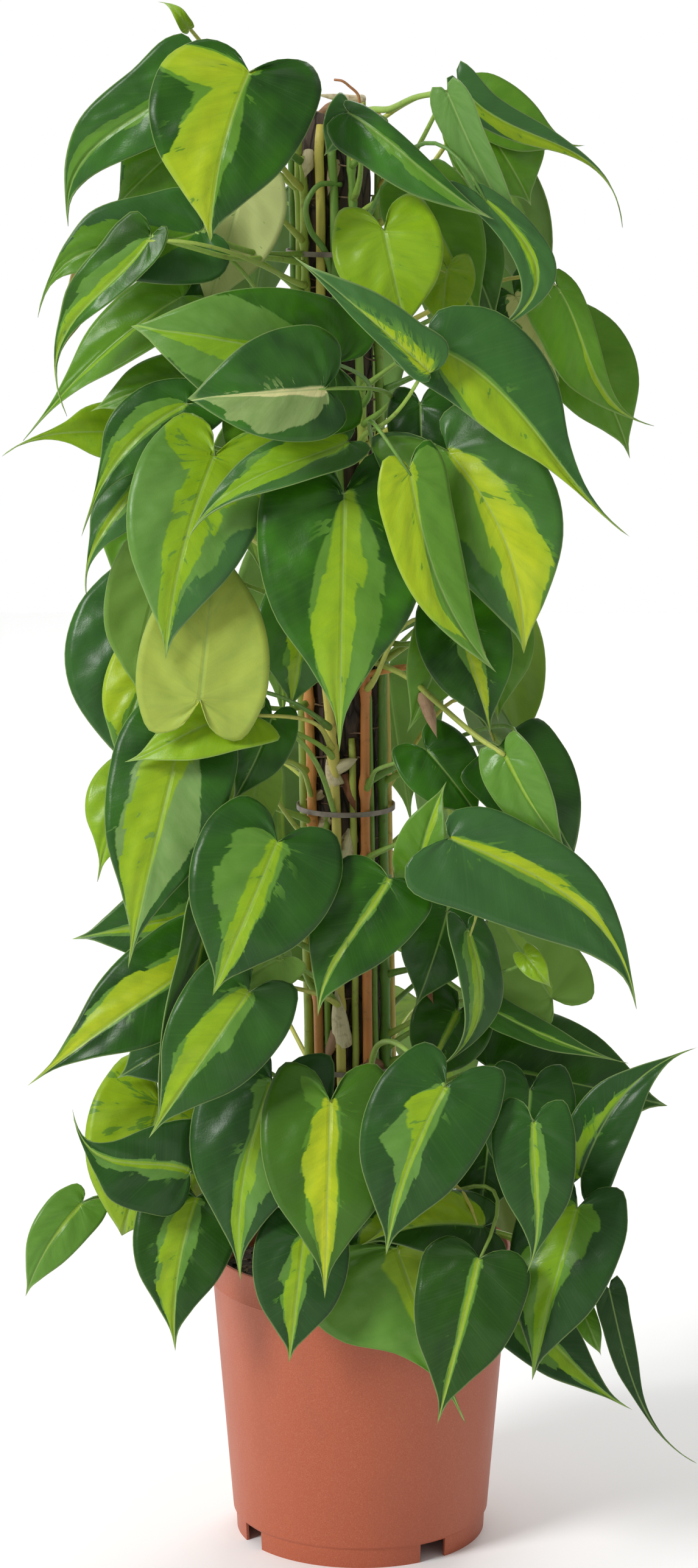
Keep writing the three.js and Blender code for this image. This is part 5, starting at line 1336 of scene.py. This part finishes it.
# Pole, soil, pot, ties and husks. Bark and soil relief have their length in mm, a place in the
# noise and the fractal's own three values; the bark's also say how many go round the pole.
POLE_AROUND = 110
POLE_ALONG = 260
POLE_TOP_ROWS = 6
BARK_DEPTH = 1.5
BARK_FRAY = 1.6
BARK_FIBRES = (9, 55, 0, (0.9, 2.2, 4))
BARK_FLAKES = (2.2, 24, 3, (1.0, 2.0, 3))
BARK_SHARES = (0.5, 0.5, 0.45)
SOIL_AROUND = 120
SOIL_TOP_ROWS = 44
SOIL_LUMP = 1.6
SOIL_LUMP_LENGTH = 7
SOIL_LUMP_PLACE = 5
SOIL_LUMP_GRAIN = (0.8, 2.1, 4)
SOIL_CLEAR = 2.2
SOIL_EDGE_ROOM = (2, 1)
SOIL_EDGE_DROP = 7
SOIL_FLOOR_ROOM = 0.3
CHIPS = 150
CHIP_SEED = 91
CHIP_RING = (27, 56)
CHIP_SIZE = (1.5, 5)
CHIP_LONG = 1.5
CHIP_FLAT = 0.45
CHIP_TAPER = 0.5
CHIP_LEAN = 0.5
CHIP_TURN = 6
CHIP_SINK = 0.6
POT_AROUND = 112
RIM_EDGE = 0.4
RIM_EDGE_LOW = 1.6
RIM_EDGE_HIGH = 1.2
FOOT_GAP_DEPTH = 12
DRAIN_SIDES = 32
DRAIN_DEPTH = 40
POT_BEVEL = 0.35
POT_BEVEL_ANGLE = 35
POT_SHARP_ANGLE = 32
TIE_STOPS = 96
TIE_SECTION = np.array([(-0.5, 0), (-0.5, 1), (0.5, 1), (0.5, 0)])
TIE_SLIM = 0.96
TIE_THIN = 0.8
TIE_LIFT = 0.1
TIE_SHARP_ANGLE = 40
HUSKS = [
    # Pixel of the clasping end, pixel of the free end, width in mm, 0 for cream to 1 for brown,
    # and the distance in front of the pot's axis where it hangs from a petiole
    ((553, 1262), (588, 1246), 8, 0.0, None),
    ((553, 1290), (535, 1246), 9, 0.1, None),
    ((576, 1362), (560, 1446), 11, 0.0, None),
    ((542, 1346), (500, 1376), 10, 0.3, None),
    ((566, 1272), (584, 1336), 7, 1.0, None),
    ((530, 1304), (502, 1314), 6, 0.4, None),
    ((564, 1722), (550, 1618), 11, 0.0, None),
    ((603, 1742), (650, 1762), 8, 0.9, None),
    ((552, 1700), (534, 1744), 7, 0.8, None),
    ((694, 1137), (718, 1214), 8, 0.7, 71),
    ((684, 1579), (712, 1650), 9, 1.0, 53),
    ((594, 880), (600, 950), 8, 0.5, None),
    ((507, 1010), (503, 1080), 8, 0.2, None),
    ((600, 166), (514, 155), 5, 0.0, 23),
    ((556, 176), (520, 184), 8, 0.8, 20),
    ((512, 246), (500, 294), 9, 0.0, None),
    ((552, 262), (538, 322), 7, 0.4, None),
]
HUSK_SHAPE = dict(fold=0.0, curl=0.9, arch=2, tail=0.1, lobe=0.1)
HUSK_LIFT = 3.5
HUSK_THICK = 0.35


def turned(angle, axis):
    return Matrix.Rotation(angle, 3, axis)


def bark_relief(around, level, relief):
    """A level of relief, from a way round the pole and a height"""
    count, length, place, grain = relief
    return noise.fractal(around * count + Vector((place, 0, level / length)), *grain)


def add_pole(colours):
    """The bark pole, rough all round, with a frayed top"""
    mesh = new_mesh(STEM_LAYERS)
    height = POLE_TOP - POLE_BOTTOM
    rows = POLE_ALONG + 2 * POLE_TOP_ROWS
    middle, fibre_share, flake_share = BARK_SHARES

    def place(t, r):
        row = np.rint(r * rows)
        z = POLE_BOTTOM + height * np.clip((row - POLE_TOP_ROWS) / POLE_ALONG, 0, 1)
        inwards = np.maximum(POLE_TOP_ROWS - row, row - (rows - POLE_TOP_ROWS)) / POLE_TOP_ROWS
        cap = 1 - np.clip(inwards, 0, 1)
        points = []
        for turn, level, share in zip(math.pi * t, z, cap):
            around = Vector((math.cos(turn), math.sin(turn), 0))
            fibre = bark_relief(around, level, BARK_FIBRES)
            flake = bark_relief(around, level, BARK_FLAKES)
            depth = min(max(middle + fibre_share * fibre + flake_share * flake, 0), 1)
            radius = (POLE_RADIUS - BARK_DEPTH * (1 - depth)) * share
            sink = 0 if level < POLE_TOP else BARK_FRAY * (1 - depth)
            points.append(pole_centre(level) + radius * np.array(around) - UP * sink)
        return np.array(points), [four(1, r, t, 1)]

    warped_grid(mesh, POLE_AROUND, rows, place, STEM_LAYERS)
    finish_piece(mesh, "bark_pole", [bark_finish(colours)], ["pole"])


def soil_height(radius):
    """The height of the soil's even top at a radius"""
    radii = (0, SOIL_SHOULDER_RADIUS, POT_RIM_RADIUS)
    return np.interp(radius, radii, (SOIL_CROWN_HEIGHT, SOIL_SHOULDER_HEIGHT, SOIL_EDGE_HEIGHT - 1))


def add_soil(colours):
    """The soil: lumpy on top, plain where the pot hides it"""
    mesh = new_mesh(STEM_LAYERS)
    wall = POT_WALL + SOIL_CLEAR
    inside = POT_LIP_RADIUS - POT_LEDGE - wall
    floor = SOIL_BOTTOM + SOIL_FLOOR_ROOM
    top_room, side_room = SOIL_EDGE_ROOM
    side = [(inside - side_room, SOIL_EDGE_HEIGHT - SOIL_EDGE_DROP)]
    side += [(POT_STEP_RADIUS - wall, floor), (0, floor)]
    rows = SOIL_TOP_ROWS + len(side)
    top_radii = np.linspace(0, inside - top_room, SOIL_TOP_ROWS + 1)
    radii = np.concatenate([top_radii, [radius for radius, _ in side]])

    def place(t, r):
        row = np.rint(r * rows).astype(int)
        points = []
        for turn, k in zip(math.pi * t, row):
            x, y = radii[k] * math.cos(turn), radii[k] * math.sin(turn)
            if k > SOIL_TOP_ROWS:
                points.append((x, y, side[k - SOIL_TOP_ROWS - 1][1]))
                continue
            spot = Vector((x / SOIL_LUMP_LENGTH, y / SOIL_LUMP_LENGTH, SOIL_LUMP_PLACE))
            lump = noise.fractal(spot, *SOIL_LUMP_GRAIN)
            points.append((x, y, soil_height(radii[k]) + SOIL_LUMP * (min(max(lump, -1), 1) - 1)))
        return np.array(points), [four(1, r, t, 1)]

    warped_grid(mesh, SOIL_AROUND, rows, place, STEM_LAYERS)
    finish_piece(mesh, "soil_mound", [soil_finish(colours)], ["soil"])


def add_chips(colours):
    """Bark chips lying on the soil"""
    mesh = bmesh.new()
    draws = seeded_draw(CHIP_SEED)
    for _ in range(CHIPS):
        radius = CHIP_RING[0] + CHIP_RING[1] * math.sqrt(next(draws))
        turn = 2 * math.pi * next(draws)
        size = CHIP_SIZE[0] + (CHIP_SIZE[1] - CHIP_SIZE[0]) * next(draws) ** 2
        chip = bmesh.ops.create_cube(mesh, size=1)["verts"]
        for vertex in chip:
            x, y, z = vertex.co
            taper = 1 - CHIP_TAPER * (next(draws) * (x + 0.5))
            vertex.co = Vector((x * size * CHIP_LONG, y * size * taper, z * size * CHIP_FLAT * taper))
        lean = CHIP_LEAN * (next(draws) - 0.5)
        bmesh.ops.rotate(mesh, verts=chip, matrix=turned(lean, "X"))
        bmesh.ops.rotate(mesh, verts=chip, matrix=turned(CHIP_TURN * next(draws), "Z"))
        height = soil_height(radius) - SOIL_LUMP * CHIP_SINK
        centre = Vector((radius * math.cos(turn), radius * math.sin(turn), height))
        bmesh.ops.scale(mesh, verts=chip, vec=(MM, MM, MM))
        bmesh.ops.translate(mesh, verts=chip, vec=centre * MM)
    finish_piece(mesh, "bark_chips", [bark_finish(colours)], []).data.shade_flat()


def pot_profile():
    """The pot's section: radius and height of each corner, from the floor's middle round"""
    lip_bottom = POT_HEIGHT - POT_LIP_HEIGHT
    return [
        (0, POT_FLOOR_BOTTOM),
        (POT_FOOT_TOP_RADIUS - POT_WALL, POT_FLOOR_BOTTOM),
        (POT_FOOT_RADIUS - POT_WALL, 0),
        (POT_FOOT_RADIUS, 0),
        (POT_FOOT_TOP_RADIUS, POT_FLOOR_BOTTOM),
        (POT_STEP_RADIUS, POT_STEP_HEIGHT),
        (POT_LIP_RADIUS, lip_bottom - POT_RIDGE),
        (POT_LIP_RADIUS + POT_RIDGE, lip_bottom),
        (POT_LIP_RADIUS + POT_RIDGE / 2, lip_bottom + POT_RIDGE),
        (POT_RIM_RADIUS - RIM_EDGE, POT_HEIGHT - RIM_EDGE_LOW),
        (POT_RIM_RADIUS, POT_HEIGHT - RIM_EDGE_HIGH),
        (POT_RIM_RADIUS, POT_HEIGHT),
        (POT_RIM_RADIUS - POT_WALL, POT_HEIGHT),
        (POT_LIP_RADIUS - POT_WALL, lip_bottom + POT_RIDGE),
        (POT_LIP_RADIUS - POT_WALL - POT_LEDGE, lip_bottom - POT_RIDGE),
        (POT_STEP_RADIUS - POT_WALL, POT_STEP_HEIGHT),
        (0, POT_STEP_HEIGHT),
    ]


def cutter_object(mesh, reach, angle):
    """A cutter at a reach from the pot's axis and an angle about it"""
    bmesh.ops.translate(mesh, verts=mesh.verts, vec=(0, -reach * MM, 0))
    bmesh.ops.rotate(mesh, verts=mesh.verts, matrix=turned(angle, "Z"))
    data = bpy.data.meshes.new("cutter")
    mesh.to_mesh(data)
    mesh.free()
    shape = bpy.data.objects.new("cutter", data)
    bpy.context.scene.collection.objects.link(shape)
    return shape


def pot_cutters():
    """A block for each gap in the foot and a rod for each drain hole"""
    cutters = []
    for degrees in FOOT_GAP_ANGLES:
        angle = math.radians(degrees)
        gap = bmesh.new()
        bmesh.ops.create_cube(gap, size=1)
        gap_size = (FOOT_GAP_WIDTH * MM, FOOT_GAP_DEPTH * MM, 2 * POT_FLOOR_BOTTOM * MM)
        bmesh.ops.scale(gap, verts=gap.verts, vec=gap_size)
        cutters.append(cutter_object(gap, POT_FOOT_RADIUS, angle))
        drain = bmesh.new()
        bmesh.ops.create_cone(
            drain,
            cap_ends=True,
            segments=DRAIN_SIDES,
            radius1=DRAIN_RADIUS * MM,
            radius2=DRAIN_RADIUS * MM,
            depth=DRAIN_DEPTH * MM,
        )
        cutters.append(cutter_object(drain, DRAIN_CIRCLE, angle))
    return cutters


def add_pot(colours):
    """The pot: one spun wall with rounded edges, four gaps in its foot and four drain holes"""
    mesh = bmesh.new()
    corners = [mesh.verts.new((radius * MM, 0, z * MM)) for radius, z in pot_profile()]
    edges = [mesh.edges.new(pair) for pair in zip(corners, corners[1:])]
    bmesh.ops.spin(
        mesh,
        geom=corners + edges,
        cent=(0, 0, 0),
        axis=(0, 0, 1),
        angle=2 * math.pi,
        steps=POT_AROUND,
        use_merge=True,
    )
    bmesh.ops.remove_doubles(mesh, verts=mesh.verts, dist=DOUBLE_DISTANCE * MM)
    pot = finish_piece(mesh, "nursery_pot", [pot_finish(colours)], ["pot"])
    cutters = pot_cutters()
    for shape in cutters:
        cut = pot.modifiers.new("gap", "BOOLEAN")
        cut.operation = "DIFFERENCE"
        cut.object = shape
    bevel = pot.modifiers.new("edges", "BEVEL")
    bevel.width = POT_BEVEL * MM
    bevel.segments = 2
    bevel.angle_limit = math.radians(POT_BEVEL_ANGLE)
    bpy.context.view_layer.update()
    done = bpy.data.meshes.new_from_object(pot.evaluated_get(bpy.context.evaluated_depsgraph_get()))
    pot.modifiers.clear()
    pot.data = done
    done.name = "nursery_pot"
    for shape in cutters:
        bpy.data.objects.remove(shape)
    done.set_sharp_from_angle(angle=math.radians(POT_SHARP_ANGLE))


def add_tie(z, number, material):
    """One tie: a flat band that runs smoothly over the stems"""
    mesh = new_mesh(STEM_LAYERS)
    stems = [stem for stem in STEMS.values() if stem["top"] > z]
    centre = pole_centre(z)
    offsets = np.array([stem_centre(stem, z) - centre for stem in stems])
    turns = np.unwrap([math.atan2(offset[1], offset[0]) for offset in offsets])
    reaches = np.linalg.norm(offsets, axis=1) + STEM_RADIUS + TIE_GAP
    stops = np.append(turns, turns[0] + 2 * math.pi)
    levels = np.append(reaches, reaches[0])

    def place(t, r):
        angle = turns[0] + 2 * math.pi * np.rint(r * TIE_STOPS) / TIE_STOPS
        corner = np.rint((t + 1) * 2).astype(int) % len(TIE_SECTION)
        up = TIE_SECTION[corner, 0] * TIE_WIDTH * TIE_SLIM
        out = np.interp(angle, stops, levels) + TIE_SECTION[corner, 1] * TIE_THICK * TIE_THIN + TIE_LIFT
        points = centre + np.stack([out * np.cos(angle), out * np.sin(angle), up], axis=-1)
        return points, [four(1, r, t, 1)]

    warped_grid(mesh, len(TIE_SECTION), TIE_STOPS, place, STEM_LAYERS)
    piece = finish_piece(mesh, "tie_band_" + str(number), [material], ["tie_0" + str(number)])
    piece.data.set_sharp_from_angle(angle=math.radians(TIE_SHARP_ANGLE))


def seat_under(pixel):
    """How far in front of the pot's axis the front of the stem or pole under a pixel is"""
    x, _, z = point_at(pixel, STEM_REACH)
    seats = []
    for stem in STEMS.values():
        centre = stem_centre(stem, z)
        gap = abs(x - centre[0])
        if gap < STEM_RADIUS and z < stem["top"]:
            seats.append(math.sqrt(STEM_RADIUS**2 - gap**2) - centre[1])
    gap = min(abs(x - pole_centre(z)[0]), POLE_RADIUS)
    return max([*seats, math.sqrt(POLE_RADIUS**2 - gap**2)])


def add_husks(material):
    """Dry papery husks that clasp the stems where old leaves grew"""
    mesh = new_mesh(LEAF_LAYERS)
    for base, tip, wide, brown, out in HUSKS:
        low = out or seat_under(base)
        high = out or seat_under(tip)
        husk = seen("dry", base, tip, (low, high + HUSK_LIFT), wide, **HUSK_SHAPE)
        add_blade(mesh, husk, frame_of(husk, 0), brown)
    piece = finish_piece(mesh, "dry_husks", [material], [], outwards=False)
    thicken(piece, HUSK_THICK, 0)


def thicken(piece, thickness, under):
    wall = piece.modifiers.new("blade", "SOLIDIFY")
    wall.thickness = thickness * MM
    wall.offset = 0
    wall.material_offset = under


def colour_setting(name, description, red, green, blue):
    return bpy.props.FloatVectorProperty(
        name=name,
        description=description,
        default=(red, green, blue, 1),
        size=4,
        min=0,
        max=1,
        subtype="COLOR",
    )


class PotSettings(bpy.types.PropertyGroup):
    """Colours of the pot's plastic"""

    plastic: colour_setting("Plastic colour", "Colour of the pot's plastic", 0.405, 0.086, 0.033)
    speckle: colour_setting("Speckle", "Fine speckle in the plastic", 0.68, 0.3, 0.17)
    wear: colour_setting("Wear", "Faint darker wear on the plastic", 0.33, 0.1, 0.055)


class SoilSettings(bpy.types.PropertyGroup):
    """Colours of the soil"""

    peat: colour_setting("Peat", "Moist peat", 0.009, 0.006, 0.004)
    dry_peat: colour_setting("Dry peat", "Drier lumps of the peat", 0.045, 0.028, 0.018)
    fines: colour_setting("Bark fines", "Lighter bits in the soil", 0.16, 0.1, 0.055)


class BarkSettings(bpy.types.PropertyGroup):
    """Colours of the pole's bark"""

    dark: colour_setting("Dark bark", "Darker fibres of the bark", 0.018, 0.011, 0.008)
    light: colour_setting("Light bark", "Lighter fibres of the bark", 0.085, 0.052, 0.034)
    patch: colour_setting("Bark patches", "Paler patches of the bark", 0.12, 0.085, 0.062)
    # The crack colour is painted shade in the bark's cracks
    crack: colour_setting("Cracks", "Depth of the cracks", 0.01, 0.007, 0.005)


class TieSettings(bpy.types.PropertyGroup):
    """Colours of the ties"""

    tape: colour_setting("Tape", "Grey-brown tape", 0.3, 0.25, 0.21)
    dirt: colour_setting("Dirt", "Dirt on the tape", 0.14, 0.11, 0.09)


class StemSettings(bpy.types.PropertyGroup):
    """Colours of the stems, petioles and roots"""

    fresh: colour_setting("Fresh rind", "Green rind", 0.085, 0.22, 0.03)
    light: colour_setting("Light rind", "Light green rind", 0.26, 0.42, 0.06)
    yellow: colour_setting("Yellow rind", "Yellow rind", 0.58, 0.5, 0.1)
    orange: colour_setting("Orange rind", "Orange-brown rind", 0.6, 0.21, 0.055)
    root: colour_setting("Roots", "Brown roots", 0.13, 0.07, 0.04)
    streak: colour_setting("Streaks", "Fine streaks along the rind", 0.4, 0.38, 0.14)
    spot: colour_setting("Spots", "Brown spots on the rind", 0.13, 0.075, 0.03)


class LeafSettings(bpy.types.PropertyGroup):
    """Colours and thickness of the leaves"""

    thickness: bpy.props.FloatProperty(
        name="Blade thickness",
        description="Thickness of the leaf blades",
        default=SEEN_THICK * MM,
        min=0.0003,
        max=0.0009,
        unit="LENGTH",
    )
    # The deep green is the blades' darkest tone in clouds and from leaf to leaf, and also the painted shade
    # of the lowest leaves
    deep: colour_setting("Deep green", "Darkest green of the blades", 0.008, 0.044, 0.003)
    dark: colour_setting("Dark green", "Main green of the blades", 0.038, 0.162, 0.004)
    middle: colour_setting("Middle green", "Green between the dark and the lime", 0.098, 0.240, 0.011)
    grey: colour_setting("Grey green", "Greyish patches beside the lime", 0.135, 0.275, 0.065)
    lime: colour_setting("Lime", "Greener lime of the variegation", 0.205, 0.380, 0.010)
    yellow: colour_setting("Yellow lime", "Yellower lime of the variegation", 0.500, 0.560, 0.014)
    cream: colour_setting("Cream", "Palest stripes of the variegation", 0.720, 0.680, 0.330)
    dry: colour_setting("Dry", "Withered leaf", 0.350, 0.230, 0.080)
    cool: colour_setting("Cool green", "Cooler green of some of the dark blades", 0.044, 0.130, 0.036)
    vein: colour_setting("Side veins", "Colour of the side veins", 0.110, 0.230, 0.045)
    rib: colour_setting("Midrib and margin", "Pale midrib and margin", 0.280, 0.400, 0.130)


class HuskSettings(bpy.types.PropertyGroup):
    """Colours of the dry husks"""

    tan: colour_setting("Tan", "Darker fibres of a pale husk", 0.55, 0.47, 0.26)
    cream: colour_setting("Cream husk", "Lighter fibres of a pale husk", 0.78, 0.7, 0.47)
    brown: colour_setting("Brown husk", "Colour of a brown husk", 0.27, 0.1, 0.045)
    blotch: colour_setting("Blotches", "Dark blotches on a husk", 0.2, 0.09, 0.04)


SETTINGS = {
    "philodendron_pot": PotSettings,
    "philodendron_soil": SoilSettings,
    "philodendron_bark": BarkSettings,
    "philodendron_tie": TieSettings,
    "philodendron_stem": StemSettings,
    "philodendron_leaf": LeafSettings,
    "philodendron_husk": HuskSettings,
}


def chosen_colours(scene, group):
    """The colours in a group of the scene's settings, by name"""
    settings = getattr(scene, group)
    names = [name for name in SETTINGS[group].__annotations__ if name != "thickness"]
    return {name: tuple(getattr(settings, name)) for name in names}


class PHILODENDRON_OT_pot(bpy.types.Operator):
    """Make the nursery pot"""

    bl_idname = "philodendron.pot"
    bl_label = "Nursery pot"

    def execute(self, context):
        add_pot(chosen_colours(context.scene, "philodendron_pot"))
        return {"FINISHED"}


class PHILODENDRON_OT_soil(bpy.types.Operator):
    """Make the soil and the chips on it"""

    bl_idname = "philodendron.soil"
    bl_label = "Soil"

    def execute(self, context):
        add_soil(chosen_colours(context.scene, "philodendron_soil"))
        add_chips(chosen_colours(context.scene, "philodendron_bark"))
        return {"FINISHED"}


class PHILODENDRON_OT_pole(bpy.types.Operator):
    """Make the bark pole"""

    bl_idname = "philodendron.pole"
    bl_label = "Bark pole"

    def execute(self, context):
        add_pole(chosen_colours(context.scene, "philodendron_bark"))
        return {"FINISHED"}


class PHILODENDRON_OT_ties(bpy.types.Operator):
    """Make the ties round the pole"""

    bl_idname = "philodendron.ties"
    bl_label = "Ties"

    def execute(self, context):
        material = tie_finish(chosen_colours(context.scene, "philodendron_tie"))
        for i, z in enumerate(TIE_HEIGHTS):
            add_tie(z, i + 1, material)
        return {"FINISHED"}


class PHILODENDRON_OT_vines(bpy.types.Operator):
    """Grow the stems, petioles, roots, leaves and dry husks"""

    bl_idname = "philodendron.vines"
    bl_label = "Leafy stems"

    def execute(self, context):
        colours = chosen_colours(context.scene, "philodendron_leaf")
        thickness = context.scene.philodendron_leaf.thickness / MM
        rind = stem_finish(chosen_colours(context.scene, "philodendron_stem"))
        add_vines(blade_finishes(colours), thickness, rind)
        extra = new_mesh(STEM_LAYERS)
        add_thin_stems(extra)
        add_loose_petioles(extra)
        finish_piece(extra, "thin_stems", [rind], [])
        add_husks(husk_finish(chosen_colours(context.scene, "philodendron_husk")))
        return {"FINISHED"}


# Growing the leafy stems
FACE_ROUGHNESS = 0.32
BACK_ROUGHNESS = 0.55
BLADE_BUMP = 0.6
UNDERSIDE = (0.2, 0.33, 0.07)
UNDERSIDE_SHARE = 0.5
PETIOLE_HUE_STEP = 0.37
PETIOLE_HUES = 0.45


def paler(colour):
    """The tone of a blade's underside"""
    rest = 1 - UNDERSIDE_SHARE
    return tuple(rest * value + UNDERSIDE_SHARE * pale for value, pale in zip(colour, UNDERSIDE)) + (1,)


def blade_finishes(colours):
    """The looks of a blade's face and of its underside"""
    under = {name: paler(colour) for name, colour in colours.items()}
    face = leaf_finish("leaf_face", colours, FACE_ROUGHNESS, BLADE_BUMP)
    return [face, leaf_finish("leaf_back", under, BACK_ROUGHNESS, BLADE_BUMP)]


def add_vines(blades, thickness, rind):
    """Every leafy stem: its leaves as one piece, its stem, petioles and roots as another"""
    leaves = {name: new_mesh(LEAF_LAYERS) for name in STEMS}
    stems = {name: new_mesh(STEM_LAYERS) for name in STEMS}
    knots = {name: [] for name in STEMS}
    rows = [(row, False) for row in FRONT_LEAVES]
    rows += [(row, True) for row in SECOND_ROW_LEAVES + back_leaves()]
    for i, (row, plain) in enumerate(rows):
        row["plain"] = plain
        placed, name = placed_leaf(row)
        line = petiole_line(row, placed, name)
        add_blade(leaves[name], row, placed, (i * GOLDEN_SHARE) % 1)
        add_petiole(stems[name], line, (i * PETIOLE_HUE_STEP) % PETIOLE_HUES)
        knots[name].append(line[0][2])
    draws = seeded_draw(ROOT_SEED)
    for name, stem in STEMS.items():
        add_stem(stems[name], stem, knots[name])
        add_roots(stems[name], stem, draws)
        number = name[-2:]
        foliage = finish_piece(leaves[name], "leaves_" + number, blades, [name], outwards=False)
        thicken(foliage, thickness, 1)
        finish_piece(stems[name], "stems_" + number, [rind], [name])


# Stage
FLOOR_SIZE = 7.6
FLOOR_TONE = (0.95, 0.95, 0.945, 1)
FLOOR_ROUGHNESS = 0.8
WORLD_TONE = (1, 1, 1, 1)
ROOM_STRENGTH = 0.42
BACKDROP_STRENGTH = 1.0
BACKDROP_WAY = (-0.4, 0.9, 0.1)
BACKDROP_EDGE = (0.1, 0.72)
SENSOR = 36
SIGHT = 50
LAMPS = [
    # Name, place in metres, aim height, size in metres, watts
    ("key_light", (-4.5, -3.5, 4.3), 0.55, 2.2, 330),
    ("fill_light", (3.6, -3.4, 2.0), 0.5, 2.4, 3),
    ("back_light", (1.0, 3.8, 3.8), 0.6, 2.6, 75),
]


def add_aimed(name, data, place, target):
    """A lamp or camera that looks from a place to a target"""
    thing = bpy.data.objects.new(name, data)
    thing.location = place
    thing.rotation_euler = (Vector(target) - Vector(place)).to_track_quat("-Z", "Y").to_euler()
    bpy.context.scene.collection.objects.link(thing)
    return thing


def soft_room():
    """A softly lit room, brighter on the backdrop's side"""
    world = bpy.data.worlds.new("soft_room")
    world.use_nodes = True
    nodes = world.node_tree.nodes
    links = world.node_tree.links
    background = nodes["Background"]
    background.inputs["Color"].default_value = WORLD_TONE
    way = nodes.new("ShaderNodeTexCoord").outputs["Generated"]
    facing = nodes.new("ShaderNodeVectorMath")
    facing.operation = "DOT_PRODUCT"
    facing.inputs[1].default_value = Vector(BACKDROP_WAY).normalized()
    links.new(way, facing.inputs[0])
    strength = nodes.new("ShaderNodeMapRange")
    strength.interpolation_type = "SMOOTHSTEP"
    for name, value in zip(("From Min", "From Max"), BACKDROP_EDGE):
        strength.inputs[name].default_value = value
    strength.inputs["To Min"].default_value = ROOM_STRENGTH
    strength.inputs["To Max"].default_value = BACKDROP_STRENGTH
    links.new(facing.outputs["Value"], strength.inputs["Value"])
    links.new(strength.outputs[0], background.inputs["Strength"])
    return world


def add_floor(scene):
    """A pale floor under the pot"""
    mesh = bmesh.new()
    bmesh.ops.create_grid(mesh, x_segments=2, y_segments=2, size=FLOOR_SIZE / 2)
    data = bpy.data.meshes.new("floor")
    mesh.to_mesh(data)
    mesh.free()
    floor = bpy.data.objects.new("floor", data)
    scene.collection.objects.link(floor)
    finish = Finish("floor_paint")
    finish.set(base_color=FLOOR_TONE, roughness=FLOOR_ROUGHNESS)
    data.materials.append(finish.material)


def add_lamps():
    """Round area lamps, each aimed at a height on the pot's axis"""
    for name, place, height, size, power in LAMPS:
        lamp = bpy.data.lights.new(name, "AREA")
        lamp.shape = "DISK"
        lamp.size = size
        lamp.energy = power
        add_aimed(name, lamp, place, (0, 0, height))


def add_camera(scene):
    """The camera, at the place that the photograph was fitted to"""
    camera = bpy.data.cameras.new("camera")
    camera.sensor_width = SENSOR
    camera.lens = SENSOR * FOCAL_PX / PHOTO_HEIGHT
    camera.clip_end = SIGHT
    scene.camera = add_aimed("camera", camera, EYE * MM, LOOKED_AT * MM)
    scene.view_settings.view_transform = "Standard"


class PHILODENDRON_OT_stage(bpy.types.Operator):
    """Make the floor, the lights and the camera"""

    bl_idname = "philodendron.stage"
    bl_label = "Stage"

    def execute(self, context):
        add_floor(context.scene)
        context.scene.world = soft_room()
        add_lamps()
        add_camera(context.scene)
        return {"FINISHED"}


class PHILODENDRON_PT_panel(bpy.types.Panel):
    """Lists the plant's pieces and settings"""

    bl_label = "Philodendron"
    bl_space_type = "VIEW_3D"
    bl_region_type = "UI"
    bl_category = "Philodendron"

    def draw(self, context):
        column = self.layout.column()
        for group, kind in SETTINGS.items():
            for name in kind.__annotations__:
                column.prop(getattr(context.scene, group), name)
        for operator in OPERATORS:
            column.operator(operator.bl_idname)


OPERATORS = [
    PHILODENDRON_OT_pot,
    PHILODENDRON_OT_soil,
    PHILODENDRON_OT_pole,
    PHILODENDRON_OT_ties,
    PHILODENDRON_OT_vines,
    PHILODENDRON_OT_stage,
]
CLASSES = [*SETTINGS.values(), *OPERATORS, PHILODENDRON_PT_panel]


def register():
    for kind in CLASSES:
        bpy.utils.register_class(kind)
    for group, kind in SETTINGS.items():
        setattr(bpy.types.Scene, group, bpy.props.PointerProperty(type=kind))


def unregister():
    for group in SETTINGS:
        delattr(bpy.types.Scene, group)
    for kind in reversed(CLASSES):
        bpy.utils.unregister_class(kind)


def main():
    register()
    bpy.ops.philodendron.pot()
    bpy.ops.philodendron.soil()
    bpy.ops.philodendron.pole()
    bpy.ops.philodendron.ties()
    bpy.ops.philodendron.vines()
    bpy.ops.philodendron.stage()


if __name__ == "__main__":
    main()
